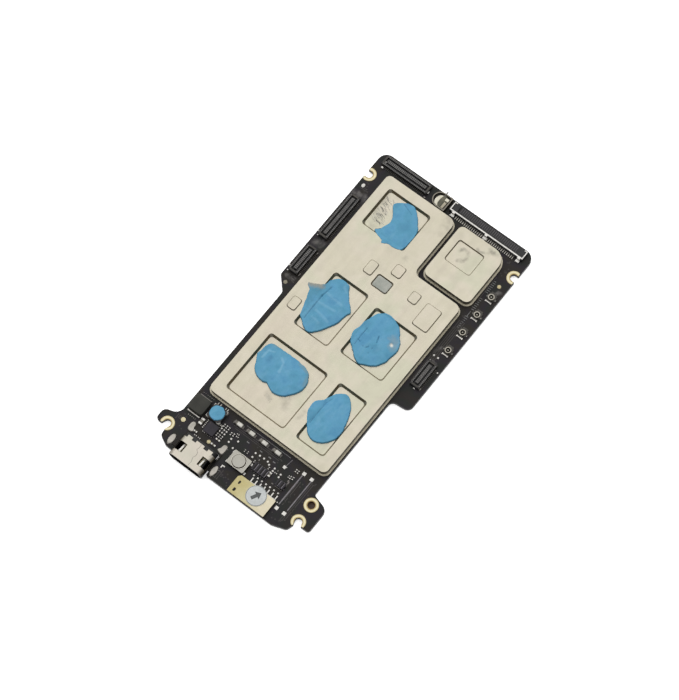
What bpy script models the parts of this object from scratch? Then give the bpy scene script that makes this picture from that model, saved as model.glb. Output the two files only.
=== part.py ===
"""Flight controller board of a small drone: circuit board, clip-on shields, putty, ports and connectors.

Every length below is in millimetres. The helpers that make geometry turn it into metres.
X runs across the board, Y along it from the charging port to the cable socket, and Z up.
The origin is on the board's underside.
"""

import math

import bmesh
import bpy
from mathutils import Matrix, Vector

MM = 0.001
SEAT_GAP = 0.03
SLIDE_GAP = 0.05

# circuit board
BOARD_THICKNESS = 1.0
BOARD_TOP = BOARD_THICKNESS
SEAT = BOARD_TOP + SEAT_GAP
BOARD_LEFT, BOARD_RIGHT = -20.0, 21.45
BOARD_BOTTOM, BOARD_END = -42.25, 40.2
WAIST_LEFT, WAIST_RIGHT = -17.05, 17.0
EAR_LEFT, LOBE_RIGHT = -20.5, 21.1
EAR_BOTTOM = -38.85

# screw notches and their plated rings: centre, and the direction in which the notch is open
SCREW_HOLE_RADIUS = 0.85
SCREW_RING_RADIUS = 1.65
RING_THICKNESS = 0.06
NOTCH_REACH = 4.0
SCREW_NOTCHES = {
    "screw_ring_top_left": ((-19.25, 33.65), (-1.0, 0.0)),
    "screw_ring_top_right": ((20.8, 33.3), (1.0, 0.0)),
    "screw_ring_bottom_left": ((-17.75, -38.25), (-0.4, -0.92)),
    "screw_ring_bottom_right": ((18.0, -38.3), (0.3, -0.95)),
}
GROUND_RING_CENTRE = (17.9, -33.8)

# shields
SHEET = 0.2
LID_RISE = 1.9
LID_TOP = BOARD_TOP + LID_RISE
SKIRT_BOTTOM = BOARD_TOP + 0.55
FRAME_FLANGE = 0.35
FRAME_FLANGE_TOP = BOARD_TOP + 0.3
FRAME_TOP = BOARD_TOP + 1.5
RECESS_DEPTH = 0.7
RECESS_SLOPE = 0.42
RECESS_CORNER = 0.7
GREY_RECESS_DEPTH = 0.35
BOSS_HEIGHT = 0.25
BOSS_SLOPE = 0.2
BOSS_CORNER = 0.5
BOSS_ROOT = 0.05
SMALL_RECESS_DEPTH = 0.3
MAIN_LEFT, MAIN_RIGHT = -15.3, 16.35
MAIN_BOTTOM, MAIN_END = -27.2, 35.65
MAIN_ARM_RIGHT, MAIN_SHOULDER = 3.35, 20.3
SMALL_LEFT, SMALL_RIGHT = 4.65, 17.0
SMALL_BOTTOM, SMALL_END = 21.7, 35.75

# each recess: left, bottom, right, top of its rim
RECESSES = {
    "top": (-13.1, 22.85, -1.6, 33.2),
    "middle_left": (-10.35, -4.5, -1.0, 10.45),
    "middle_right": (1.7, -3.65, 13.15, 9.35),
    "bottom_left": (-12.65, -24.75, 3.2, -9.1),
    "bottom_right": (6.15, -24.45, 13.75, -9.0),
}
GREY_RECESS = (-2.65, 12.6, 1.6, 15.85)
SMALL_RECESS = (6.4, 27.05, 13.3, 32.85)
BOSSES = (
    (-0.8, 17.15, 1.85, 20.2),
    (-6.0, 14.0, -3.6, 17.55),
    (5.8, 14.4, 8.2, 17.3),
    (9.9, 10.8, 14.0, 16.9),
    (-14.0, -2.45, -11.65, 0.8),
)

# chips under the recesses: width, length and height
CHIPS = {
    "radio_chip": ("top", 9.0, 8.0, 0.85),
    "memory_chip": ("middle_left", 7.5, 12.5, 0.85),
    "video_chip": ("middle_right", 9.5, 10.5, 0.85),
    "processor_chip": ("bottom_left", 13.0, 13.0, 0.85),
    "power_manager_chip": ("bottom_right", 6.0, 12.5, 0.85),
}
POSITION_CHIP = (6.0, 5.0, 0.9)

# thermal putty: outline points, smoothed into a closed curve
PUTTY_RISE = 0.5
PUTTY_OUTLINES = {
    "top": (
        (-7.9, 32.9), (-6.4, 33.0), (-5.3, 32.7), (-4.4, 31.9), (-3.2, 30.6), (-2.3, 29.4), (-1.8, 28.3),
        (-1.65, 26.5), (-1.75, 24.6), (-2.0, 23.3), (-2.8, 22.6), (-4.2, 22.3), (-5.2, 22.4), (-6.0, 21.9),
        (-6.7, 21.75), (-7.0, 22.3), (-8.2, 22.6), (-9.2, 23.0), (-9.9, 23.5), (-9.0, 24.2), (-8.7, 25.2),
        (-8.3, 26.5), (-8.4, 27.8), (-9.0, 28.9), (-9.8, 29.9), (-10.2, 30.7), (-9.8, 31.5), (-9.0, 32.1),
    ),
    "middle_left": (
        (-9.3, 9.2), (-8.4, 9.9), (-7.3, 10.1), (-5.9, 9.7), (-5.2, 8.6), (-4.3, 7.6), (-3.3, 6.5),
        (-2.3, 5.6), (-1.8, 4.8), (-2.1, 4.1), (-2.35, 2.9), (-2.6, 1.2), (-3.2, 0.1), (-4.0, -1.6),
        (-5.0, -2.9), (-5.8, -3.8), (-6.7, -4.3), (-7.7, -4.0), (-8.6, -3.4), (-9.4, -2.7), (-10.3, -2.2),
        (-10.7, -0.9), (-11.3, 0.9), (-11.9, 2.6), (-12.4, 3.8), (-13.2, 4.3), (-13.5, 4.9), (-12.4, 5.4),
        (-11.3, 6.0), (-10.3, 6.9), (-10.1, 8.2),
    ),
    "middle_right": (
        (3.2, 8.8), (4.2, 9.4), (5.3, 9.6), (7.2, 9.3), (8.5, 8.8), (9.4, 7.9), (10.1, 6.8), (11.0, 5.9),
        (11.5, 4.6), (11.6, 3.6), (11.3, 2.2), (11.2, 1.1), (10.8, -0.2), (10.0, -1.4), (8.8, -2.3),
        (7.6, -2.9), (6.7, -3.3), (5.6, -3.1), (4.3, -2.2), (3.0, -1.1), (1.9, -0.3), (1.3, 1.2),
        (1.2, 2.4), (1.6, 3.6), (1.7, 5.4), (2.2, 7.0), (2.6, 8.0),
    ),
    "bottom_left": (
        (-10.9, -10.8), (-9.9, -10.6), (-8.3, -10.55), (-6.5, -10.5), (-4.8, -10.5), (-3.0, -10.6),
        (-1.6, -10.8), (-0.4, -11.5), (0.5, -12.6), (0.9, -13.6), (0.95, -14.8), (0.7, -16.0),
        (-0.1, -17.3), (-1.1, -18.6), (-2.3, -19.3), (-3.6, -19.65), (-4.6, -19.5), (-5.6, -19.0),
        (-6.2, -18.7), (-7.3, -18.95), (-8.6, -18.8), (-9.8, -18.3), (-10.6, -17.4), (-11.3, -16.1),
        (-11.9, -15.2), (-12.2, -14.5), (-11.9, -13.6), (-11.9, -12.4), (-11.5, -11.4),
    ),
    "bottom_right": (
        (8.0, -10.7), (9.0, -10.2), (9.9, -10.4), (10.9, -11.2), (11.9, -12.6), (12.6, -14.1),
        (13.1, -15.8), (13.45, -17.2), (13.5, -18.6), (13.2, -20.0), (12.3, -21.3), (11.2, -22.3),
        (10.0, -22.9), (9.0, -22.8), (7.8, -22.3), (6.9, -21.5), (6.1, -20.4), (5.2, -19.2), (4.6, -18.2),
        (4.4, -16.8), (4.5, -15.6), (5.2, -14.8), (5.9, -14.2), (6.2, -13.3), (6.7, -12.0), (7.2, -11.3),
    ),
}

# charging port
PORT_X = -8.55
PORT_WIDTH, PORT_HEIGHT = 8.94, 3.16
PORT_BOTTOM = 0.02
PORT_WALL = 0.25
PORT_FRONT, PORT_BACK = -43.44, -38.46
PORT_TAB_BACK = -37.86
PORT_TABS = ((-3.3, -2.1), (-1.05, 1.05), (2.1, 3.3))
PORT_WINDOW = (2.1, 4.2, -41.98, -39.78)
PORT_CUTOUT = (PORT_X - 4.62, PORT_X + 4.62, -37.0)
PORT_LEG_FRONT = (PORT_X - 5.85, PORT_X + 5.85, -40.5)
PORT_LEG_REAR = (PORT_X - 4.4, PORT_X + 4.4, -35.7)
PORT_SLOT = (0.8, 2.0)
PORT_LEG = (0.5, 1.5)
PORT_TONGUE = (6.7, 0.7)
PORT_CONTACTS = 12

# cable socket: a low moulding open towards the board's end, with a metal bracket along its back
CABLE_LEFT, CABLE_RIGHT = 0.1, 19.85
CABLE_REAR, CABLE_FRONT = 37.3, 39.75
CABLE_HEIGHT = 0.9
CABLE_BACK_DEPTH = 0.5
CABLE_FLOOR = 0.4
CABLE_SIDE = 1.7
CABLE_PITCH = 0.5
CABLE_CONTACTS = 32
BRACKET_THICKNESS = 0.15
BRACKET_BAR, BRACKET_ARM, BRACKET_HOOK = 0.3, 0.24, 0.8
BRACKET_FEET = (1.3, 10.2, 19.05)

# stacking connectors: centre, length, and whether the length runs along Y
CONNECTOR_WIDTH = 2.3
CONNECTOR_HEIGHT = 0.95
CONNECTOR_PITCH = 0.4
CONNECTOR_LEADS_THICKNESS = 0.1
CONNECTORS = {
    "top_stacking": ((-12.4, 38.35), 12.4, False),
    "left_long_stacking": ((-18.1, 21.5), 12.2, True),
    "left_short_stacking": ((-18.1, 8.7), 7.4, True),
    "right_stacking": ((18.95, 3.6), 6.8, True),
}

# coaxial antenna sockets
COAX_X = 19.7
COAX_FIRST_Y, COAX_PITCH = 26.6, -5.13
COAX_COUNT = 4
COAX_RING_RADIUS, COAX_RING_BORE = 0.73, 0.52
COAX_HEIGHT = 0.6

# pressure sensor in its D-shaped ring
SENSOR_CENTRE = (-2.8, 37.95)
SENSOR_RADIUS = 1.87
SENSOR_RIGHT = -0.6
SENSOR_WALL = 0.3
SENSOR_HEIGHT = 1.3

# push switch
SWITCH_CENTRE = (0.0, -35.8)
SWITCH_SIZE = (4.5, 3.4)
SWITCH_HEIGHT = 1.0
BUTTON_RADIUS = 1.45
BUTTON_RISE = 0.3
BUTTON_TRAVEL = 0.2

# edge socket with its gold cover
SOCKET_LEFT, SOCKET_RIGHT = 1.8, 11.6
SOCKET_FRONT, SOCKET_REAR = -42.2, -37.75
SOCKET_HEIGHT = 0.75
SOCKET_LEADS, SOCKET_LEAD_PITCH, SOCKET_FIRST_LEAD = 7, 1.09, 4.5
STICKER_CENTRE, STICKER_RADIUS = (7.6, -39.45), 2.3

# other parts of the power corner: centre, size
POWER_INDUCTOR = ((-14.6, -31.05), (3.8, 3.8, 1.5))
COIL_INDUCTOR = ((-10.35, -30.4), (3.5, 3.3, 1.2))
INDUCTOR_PUTTY_RADIUS = 1.85
CHARGER_CHIP = ((-9.35, -33.7), (2.6, 2.6, 0.8))
CORNER_CHIPS = {
    "driver_chip": ((4.7, -34.45), (3.6, 1.9, 0.7)),
    "sensor_chip": ((10.05, -34.3), (2.1, 1.6, 0.7)),
}
CAPACITOR_XS = (-5.4, -2.1, 1.4, 4.95)
CAPACITOR_Y = -29.2
CAPACITOR_SIZE = (2.1, 0.95, 0.85)

SOLDER_MASK = ((0.02, 0.019, 0.019), 0.45, 0.0)
GOLD = ((0.75, 0.62, 0.32), 0.3, 1.0)
NICKEL = ((0.66, 0.62, 0.53), 0.38, 1.0)
STEEL = ((0.72, 0.69, 0.64), 0.3, 1.0)
PUTTY = ((0.11, 0.36, 0.57), 0.75, 0.0)
BLACK_PLASTIC = ((0.03, 0.03, 0.033), 0.5, 0.0)
WHITE_PLASTIC = ((0.75, 0.73, 0.7), 0.5, 0.0)
TINNED = ((0.7, 0.68, 0.65), 0.35, 1.0)
CERAMIC = ((0.72, 0.69, 0.6), 0.55, 0.0)
FERRITE = ((0.05, 0.05, 0.045), 0.6, 0.0)
PAPER = ((0.62, 0.63, 0.62), 0.7, 0.0)

ARC_STEPS = 5
ROUND_STEPS = 28


def clear_scene():
    for leftover in list(bpy.data.objects):
        bpy.data.objects.remove(leftover)


def new_collection(name):
    collection = bpy.data.collections.new(name)
    bpy.context.scene.collection.children.link(collection)
    return collection


def finish(name, colour, roughness, metallic):
    """A Principled material with one colour, roughness and metallic value."""
    made = bpy.data.materials.new(name)
    made.use_nodes = True
    shader = made.node_tree.nodes["Principled BSDF"]
    shader.inputs["Base Color"].default_value = (*colour, 1)
    shader.inputs["Roughness"].default_value = roughness
    shader.inputs["Metallic"].default_value = metallic
    return made


def fillet(before, corner, after, radius, steps):
    """Points of the arc that rounds one corner of an outline."""
    corner = Vector(corner)
    back = (Vector(before) - corner).normalized()
    ahead = (Vector(after) - corner).normalized()
    half = back.angle(ahead) / 2
    centre = corner + (back + ahead).normalized() * radius / math.sin(half)
    reach = radius / math.tan(half)
    start = corner + back * reach - centre
    sweep = start.angle_signed(corner + ahead * reach - centre)
    points = []
    for step in range(steps + 1):
        turn = -sweep * step / steps
        cos, sin = math.cos(turn), math.sin(turn)
        points.append((centre.x + start.x * cos - start.y * sin, centre.y + start.x * sin + start.y * cos))
    return points


def rounded(corners, steps=ARC_STEPS):
    """A closed outline from (x, y, radius) corners."""
    outline = []
    for index, (x, y, radius) in enumerate(corners):
        if radius <= 0:
            outline.append((x, y))
            continue
        before = corners[index - 1][:2]
        after = corners[(index + 1) % len(corners)][:2]
        outline += fillet(before, (x, y), after, radius, steps)
    return outline


def rounded_box(left, bottom, right, top, radius, steps=ARC_STEPS):
    corners = ((left, bottom), (right, bottom), (right, top), (left, top))
    return rounded([(x, y, radius) for x, y in corners], steps)


def circle(centre, radius, steps=ROUND_STEPS):
    turns = [2 * math.pi * step / steps for step in range(steps)]
    return [(centre[0] + radius * math.cos(turn), centre[1] + radius * math.sin(turn)) for turn in turns]


def smooth_loop(points, steps=3):
    """A closed Catmull-Rom curve through the points."""
    loop = []
    count = len(points)
    for index in range(count):
        a, b, c, d = (Vector(points[(index + shift) % count]) for shift in (-1, 0, 1, 2))
        for step in range(steps):
            t = step / steps
            second = 2 * a - 5 * b + 4 * c - d
            third = 3 * b - a - 3 * c + d
            spot = 0.5 * (2 * b + (c - a) * t + second * t**2 + third * t**3)
            loop.append((spot.x, spot.y))
    return loop


def mesh_of_curve(curve, name):
    """The evaluated mesh of a curve, with its caps welded to its sides and its size in metres."""
    holder = bpy.data.objects.new(name, curve)
    bpy.context.scene.collection.objects.link(holder)
    graph = bpy.context.evaluated_depsgraph_get()
    mesh = bpy.data.meshes.new_from_object(holder.evaluated_get(graph))
    bpy.data.objects.remove(holder)
    bpy.data.curves.remove(curve)
    shape = bmesh.new()
    shape.from_mesh(mesh)
    bmesh.ops.remove_doubles(shape, verts=shape.verts, dist=0.0001)
    bmesh.ops.recalc_face_normals(shape, faces=shape.faces)
    shape.to_mesh(mesh)
    shape.free()
    mesh.transform(Matrix.Scale(MM, 4))
    return mesh


def plate_mesh(name, loops, low, high):
    """A flat outline with holes, as a solid from low to high."""
    curve = bpy.data.curves.new(name, "CURVE")
    curve.dimensions = "2D"
    curve.fill_mode = "BOTH"
    curve.extrude = (high - low) / 2
    for loop in loops:
        spline = curve.splines.new("POLY")
        spline.points.add(len(loop) - 1)
        for point, (x, y) in zip(spline.points, loop):
            point.co = (x, y, 0, 1)
        spline.use_cyclic_u = True
    mesh = mesh_of_curve(curve, name)
    mesh.transform(Matrix.Translation((0, 0, (low + high) / 2 * MM)))
    return mesh


def block_mesh(name, left, bottom, right, top, low, high):
    shape = bmesh.new()
    bmesh.ops.create_cube(shape, size=1)
    centre = ((left + right) / 2, (bottom + top) / 2)
    for vert in shape.verts:
        vert.co.x = centre[0] + vert.co.x * (right - left)
        vert.co.y = centre[1] + vert.co.y * (top - bottom)
        vert.co.z = low if vert.co.z < 0 else high
        vert.co *= MM
    mesh = bpy.data.meshes.new(name)
    shape.to_mesh(mesh)
    shape.free()
    return mesh


def tray_mesh(name, left, bottom, right, top, low, high, slope, corner):
    """A block with rounded corners whose lower face is smaller by slope on each side."""
    shape = bmesh.new()
    rings = []
    for z, inset in ((low, slope), (high, 0.0)):
        loop = rounded_box(left + inset, bottom + inset, right - inset, top - inset, corner, 3)
        rings.append([shape.verts.new(Vector((x, y, z)) * MM) for x, y in loop])
    lower, upper = rings
    shape.faces.new(lower[::-1])
    shape.faces.new(upper)
    for index in range(len(lower)):
        after = (index + 1) % len(lower)
        shape.faces.new((lower[index], lower[after], upper[after], upper[index]))
    mesh = bpy.data.meshes.new(name)
    shape.to_mesh(mesh)
    shape.free()
    return mesh


def round_mesh(name, centre, radius, low, high, top_radius=None, steps=ROUND_STEPS):
    """A cylinder or a cone frustum standing on the board."""
    shape = bmesh.new()
    top = radius if top_radius is None else top_radius
    bmesh.ops.create_cone(
        shape, cap_ends=True, segments=steps, radius1=radius * MM, radius2=top * MM, depth=(high - low) * MM
    )
    bmesh.ops.translate(shape, verts=shape.verts, vec=Vector((*centre, (low + high) / 2)) * MM)
    mesh = bpy.data.meshes.new(name)
    shape.to_mesh(mesh)
    shape.free()
    return mesh


def add_part(name, mesh, material, origin=None):
    """A visible sub-part, with its object origin moved to the given point."""
    part = bpy.data.objects.new(name, mesh)
    PARTS.objects.link(part)
    mesh.materials.append(material)
    if origin is not None:
        mesh.transform(Matrix.Translation(Vector(origin) * -MM))
        part.location = Vector(origin) * MM
    mesh.shade_smooth()
    mesh.set_sharp_from_angle(angle=math.radians(30))
    return part


def add_tool(name, mesh):
    """A helper solid for a Boolean, left out of the render."""
    tool = bpy.data.objects.new(name, mesh)
    CUTTERS.objects.link(tool)
    tool.hide_render = True
    tool.display_type = "WIRE"
    return tool


def combine(part, mesh, operation):
    tool = add_tool(mesh.name, mesh)
    boolean = part.modifiers.new(mesh.name, "BOOLEAN")
    boolean.operation = operation
    boolean.object = tool


def cut(part, mesh):
    combine(part, mesh, "DIFFERENCE")


def join(part, mesh):
    combine(part, mesh, "UNION")


def notch_mesh(name, centre, direction):
    """A round-ended slot from a screw hole out past the board's edge."""
    along = Vector(direction).normalized()
    far = Vector(centre) + along * NOTCH_REACH
    side = Vector((-along.y, along.x)) * SCREW_HOLE_RADIUS
    start = math.atan2(side.y, side.x)
    turns = [start + math.pi * step / 14 for step in range(15)]
    rim = [
        (centre[0] + SCREW_HOLE_RADIUS * math.cos(turn), centre[1] + SCREW_HOLE_RADIUS * math.sin(turn))
        for turn in turns
    ]
    outline = [(far.x + side.x, far.y + side.y), *rim, (far.x - side.x, far.y - side.y)]
    return plate_mesh(name, [outline], -1, BOARD_TOP + 1)


def board_outline(inset=0.0):
    """The circuit board's edge. The charging port's cut-out is part of it."""
    cut_left, cut_right, cut_top = PORT_CUTOUT
    corners = (
        (BOARD_LEFT + inset, BOARD_END - inset, 2.2),
        (BOARD_LEFT + inset, 3.3, 0.8),
        (WAIST_LEFT + inset, 0.2, 1.2),
        (WAIST_LEFT + inset, -35.0 - inset, 2.2),
        (EAR_LEFT + inset, -36.0 - inset, 1.4),
        (EAR_LEFT + inset, EAR_BOTTOM + inset, 0.8),
        (-18.6, EAR_BOTTOM + inset, 0.0),
        (-17.35 + inset, -39.7, 0.0),
        (-17.2 + inset, -41.1 + inset, 0.9),
        (-14.9, BOARD_BOTTOM + inset, 0.6),
        (cut_left - inset, BOARD_BOTTOM + inset, 0.3),
        (cut_left - inset, cut_top + inset, 0.5),
        (cut_right + inset, cut_top + inset, 0.5),
        (cut_right + inset, BOARD_BOTTOM + inset, 0.3),
        (13.7, BOARD_BOTTOM + inset, 1.5),
        (17.0 - inset, -41.1 + inset, 0.9),
        (17.5 - inset, -39.6, 0.0),
        (19.3, EAR_BOTTOM + inset, 0.0),
        (LOBE_RIGHT - inset, EAR_BOTTOM + inset, 0.7),
        (LOBE_RIGHT - inset, -32.7 - inset, 1.6),
        (WAIST_RIGHT - inset, -31.6 - inset, 0.7),
        (WAIST_RIGHT - inset, -5.1 + inset, 1.2),
        (BOARD_RIGHT - inset, -4.7 + inset, 1.5),
        (BOARD_RIGHT - inset, BOARD_END - inset, 2.2),
    )
    return rounded(corners[::-1])


def slot_loop(x, y):
    half_width, half_length = PORT_SLOT[0] / 2, PORT_SLOT[1] / 2
    return rounded_box(x - half_width, y - half_length, x + half_width, y + half_length, half_width * 0.85, 3)


def leg_spots():
    """Centres of the charging port's four legs, left and right in turn."""
    return [(x, y) for left, right, y in (PORT_LEG_FRONT, PORT_LEG_REAR) for x in (left, right)]


def make_circuit_board():
    hole = circle(GROUND_RING_CENTRE, SCREW_HOLE_RADIUS)
    loops = [board_outline(), hole] + [slot_loop(x, y) for x, y in leg_spots()]
    board = add_part(
        "circuit_board", plate_mesh("circuit_board", loops, 0, BOARD_TOP), finish("solder_mask", *SOLDER_MASK)
    )
    for name, (centre, direction) in SCREW_NOTCHES.items():
        cut(board, notch_mesh(name + "_notch", centre, direction))


def make_screw_rings():
    """Plated rings on the board's face, open where their notches are."""
    gold = finish("gold_plating", *GOLD)
    low, high = SEAT, SEAT + RING_THICKNESS
    for name, (centre, direction) in SCREW_NOTCHES.items():
        ring = add_part(name, round_mesh(name, centre, SCREW_RING_RADIUS, low, high), gold)
        inside = plate_mesh(name + "_edge", [board_outline(0.12)], low - 1, high + 1)
        combine(ring, inside, "INTERSECT")
        cut(ring, notch_mesh(name + "_mouth", centre, direction))
    outer = circle(GROUND_RING_CENTRE, SCREW_RING_RADIUS)
    inner = circle(GROUND_RING_CENTRE, SCREW_HOLE_RADIUS)
    add_part("ground_ring", plate_mesh("ground_ring", [outer, inner], low, high), gold)


def main_outline(inset=0.0):
    """The main shield's L-shaped outline, with its corners rounded."""
    left, right = MAIN_LEFT + inset, MAIN_RIGHT - inset
    bottom, end = MAIN_BOTTOM + inset, MAIN_END - inset
    arm, shoulder = MAIN_ARM_RIGHT - inset, MAIN_SHOULDER - inset
    corners = (
        (left, bottom, 1.3 - inset),
        (right, bottom, 1.3 - inset),
        (right, shoulder, 1.4 - inset),
        (arm, shoulder, 1.6 + inset),
        (arm, end, 1.8 - inset),
        (left, end, 1.1 - inset),
    )
    return rounded(corners)


def small_outline(inset=0.0):
    left, right = SMALL_LEFT + inset, SMALL_RIGHT - inset
    bottom, end = SMALL_BOTTOM + inset, SMALL_END - inset
    corners = (
        (left, bottom, 1.5 - inset),
        (right, bottom, 1.4 - inset),
        (right, end, 3.0 - inset),
        (left, end, 1.2 - inset),
    )
    return rounded(corners)


def make_frame(name, outline, material):
    """A soldered fence: a wall that the lid snaps over, on a flange that shows round the lid."""
    wall_outside = outline(SHEET + SLIDE_GAP)
    wall_inside = outline(2 * SHEET + SLIDE_GAP)
    flange_outside = outline(-FRAME_FLANGE)
    frame = add_part(name, plate_mesh(name, [flange_outside, wall_inside], SEAT, FRAME_FLANGE_TOP), material)
    wall = plate_mesh(name + "_wall", [wall_outside, wall_inside], FRAME_FLANGE_TOP - 0.1, FRAME_TOP)
    join(frame, wall)


def press_in(lid, name, rim, depth, slope, corner):
    """A pocket pressed down into the lid, with the sheet's thickness kept."""
    left, bottom, right, top = rim
    floor = LID_TOP - depth
    skin = tray_mesh(
        name + "_skin", left - SHEET, bottom - SHEET, right + SHEET, top + SHEET,
        floor - SHEET, LID_TOP - SHEET / 2, slope, corner + SHEET,
    )
    join(lid, skin)
    cut(lid, tray_mesh(name, left, bottom, right, top, floor, LID_TOP + 0.0001, slope, corner))


def make_lid(name, outline, material):
    """A can open at the bottom."""
    left, bottom = (min(point[axis] for point in outline()) for axis in (0, 1))
    lid = add_part(
        name, plate_mesh(name, [outline()], SKIRT_BOTTOM, LID_TOP), material, origin=(left, bottom, LID_TOP)
    )
    cut(lid, plate_mesh(name + "_inside", [outline(SHEET)], SKIRT_BOTTOM - 1, LID_TOP - SHEET))
    return lid


def make_shields():
    nickel = finish("nickel_silver", *NICKEL)
    make_frame("main_shield_frame", main_outline, nickel)
    make_frame("small_shield_frame", small_outline, nickel)
    main = make_lid("main_shield_lid", main_outline, nickel)
    for name, rim in RECESSES.items():
        press_in(main, name + "_recess", rim, RECESS_DEPTH, RECESS_SLOPE, RECESS_CORNER)
    press_in(main, "grey_recess", GREY_RECESS, GREY_RECESS_DEPTH, BOSS_SLOPE, BOSS_CORNER)
    for index, (left, bottom, right, top) in enumerate(BOSSES):
        low, high = -LID_TOP - BOSS_HEIGHT, BOSS_ROOT - LID_TOP
        boss = tray_mesh(f"boss_{index}", left, bottom, right, top, low, high, BOSS_SLOPE, BOSS_CORNER)
        boss.transform(Matrix.Diagonal((1, 1, -1, 1)))
        boss.flip_normals()
        join(main, boss)
    small = make_lid("small_shield_lid", small_outline, nickel)
    press_in(small, "small_recess", SMALL_RECESS, SMALL_RECESS_DEPTH, BOSS_SLOPE, BOSS_CORNER)


def make_putty():
    """Gap filler that fills part of each recess and lies over its rim where it spreads."""
    blue = finish("thermal_putty", *PUTTY)
    floor = LID_TOP - RECESS_DEPTH + SLIDE_GAP
    over = LID_TOP + SLIDE_GAP
    for name, points in PUTTY_OUTLINES.items():
        node = "thermal_putty_" + name
        loop = smooth_loop(points, 2)
        inset = RECESS_SLOPE + 2 * SLIDE_GAP
        left, bottom, right, top = RECESSES[name]
        putty = add_part(node, plate_mesh(node, [loop], over, LID_TOP + PUTTY_RISE), blue)
        well = plate_mesh(node + "_well", [loop], floor, over + 0.1)
        recess = tray_mesh(
            node + "_walls", left + inset, bottom + inset, right - inset, top - inset,
            floor - 1, LID_TOP + 2, 0.0, RECESS_CORNER,
        )
        filling = add_tool(node + "_filling", well)
        trim = add_tool(node + "_trim", recess)
        trimming = filling.modifiers.new("trim", "BOOLEAN")
        trimming.operation = "INTERSECT"
        trimming.object = trim
        union = putty.modifiers.new("filling", "BOOLEAN")
        union.operation = "UNION"
        union.object = filling


def make_filler_pad():
    """A thin grey pad in the small recess of the main lid."""
    left, bottom, right, top = GREY_RECESS
    inset = BOSS_SLOPE + SLIDE_GAP
    floor = LID_TOP - GREY_RECESS_DEPTH + SLIDE_GAP
    outline = rounded_box(left + inset, bottom + inset, right - inset, top - inset, BOSS_CORNER, 3)
    pad = plate_mesh("grey_filler_pad", [outline], floor, LID_TOP - 0.05)
    add_part("grey_filler_pad", pad, finish("grey_filler", *PAPER))


def make_chip(name, centre, size, material, radius=0.15):
    half_width, half_length = size[0] / 2, size[1] / 2
    x, y = centre
    outline = rounded_box(x - half_width, y - half_length, x + half_width, y + half_length, radius, 2)
    return add_part(name, plate_mesh(name, [outline], SEAT, SEAT + size[2]), material)


def make_shielded_chips():
    package = finish("chip_package", *BLACK_PLASTIC)
    for name, (recess, width, length, height) in CHIPS.items():
        left, bottom, right, top = RECESSES[recess]
        make_chip(name, ((left + right) / 2, (bottom + top) / 2), (width, length, height), package)
    left, bottom, right, top = SMALL_RECESS
    make_chip("position_chip", ((left + right) / 2, (bottom + top) / 2), POSITION_CHIP, package)


def upright_plate(name, loops, front, back, x, z):
    """A plate standing across the board, from front to back, with its outline's origin at x and z."""
    mesh = plate_mesh(name, loops, -back, -front)
    mesh.transform(Matrix.Rotation(math.radians(90), 4, "X"))
    mesh.transform(Matrix.Translation((x * MM, 0, z * MM)))
    return mesh


def stadium(width, height):
    return rounded_box(-width / 2, -height / 2, width / 2, height / 2, height / 2 * 0.95, 7)


def make_charging_port():
    """The port's steel shell with its legs, the moulded tongue, and the contacts along it."""
    middle = PORT_BOTTOM + PORT_HEIGHT / 2
    top = PORT_BOTTOM + PORT_HEIGHT
    steel = finish("port_shell", *STEEL)
    inside = stadium(PORT_WIDTH - 2 * PORT_WALL, PORT_HEIGHT - 2 * PORT_WALL)
    outlines = [stadium(PORT_WIDTH, PORT_HEIGHT), inside]
    tube = upright_plate("port_shell", outlines, PORT_FRONT, PORT_BACK, PORT_X, middle)
    shell = add_part("port_shell", tube, steel)
    for index, (left, right) in enumerate(PORT_TABS):
        tab_left, tab_right = PORT_X + left, PORT_X + right
        tab = block_mesh(
            f"port_tab_{index}", tab_left, PORT_BACK - 0.3, tab_right, PORT_TAB_BACK, top - PORT_WALL, top
        )
        join(shell, tab)
    near, far, front, back = PORT_WINDOW
    for side in (-1, 1):
        left, right = sorted((PORT_X + side * near, PORT_X + side * far))
        cut(shell, block_mesh(f"port_window_{side}", left, front, right, back, middle + 0.6, top + 1))
    for index, (x, y) in enumerate(leg_spots()):
        make_leg(shell, index, x, y)
    make_tongue(middle)


def make_leg(shell, index, x, y):
    """A strip over the board from the shell's side to a leg that stands in its slot."""
    half_width, half_length = PORT_LEG[0] / 2, PORT_LEG[1] / 2
    side = -1 if x < PORT_X else 1
    root = PORT_X + side * (PORT_WIDTH / 2 - PORT_WALL)
    inner, outer = sorted((root, x + side * half_width))
    low = min(y - half_length, PORT_BACK - 2 * half_length)
    join(shell, block_mesh(f"port_strip_{index}", inner, low, outer, y + half_length, SEAT, SEAT + 0.2))
    leg = block_mesh(
        f"port_leg_{index}", x - half_width, y - half_length, x + half_width, y + half_length, 0.1, SEAT + 0.1
    )
    join(shell, leg)


def comb(left, pitch, tooth, count, root, base, tip):
    """A flat comb's outline: a bar from root to base, with teeth from base to tip."""
    right = left + pitch * (count - 1) + tooth
    outline = [(right, root), (left, root)]
    for index in range(count):
        start = left + pitch * index
        outline += [(start, base), (start, tip), (start + tooth, tip), (start + tooth, base)]
    cleaned = [outline[0], outline[1]] + outline[3:-1]
    return cleaned[::-1]


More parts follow.
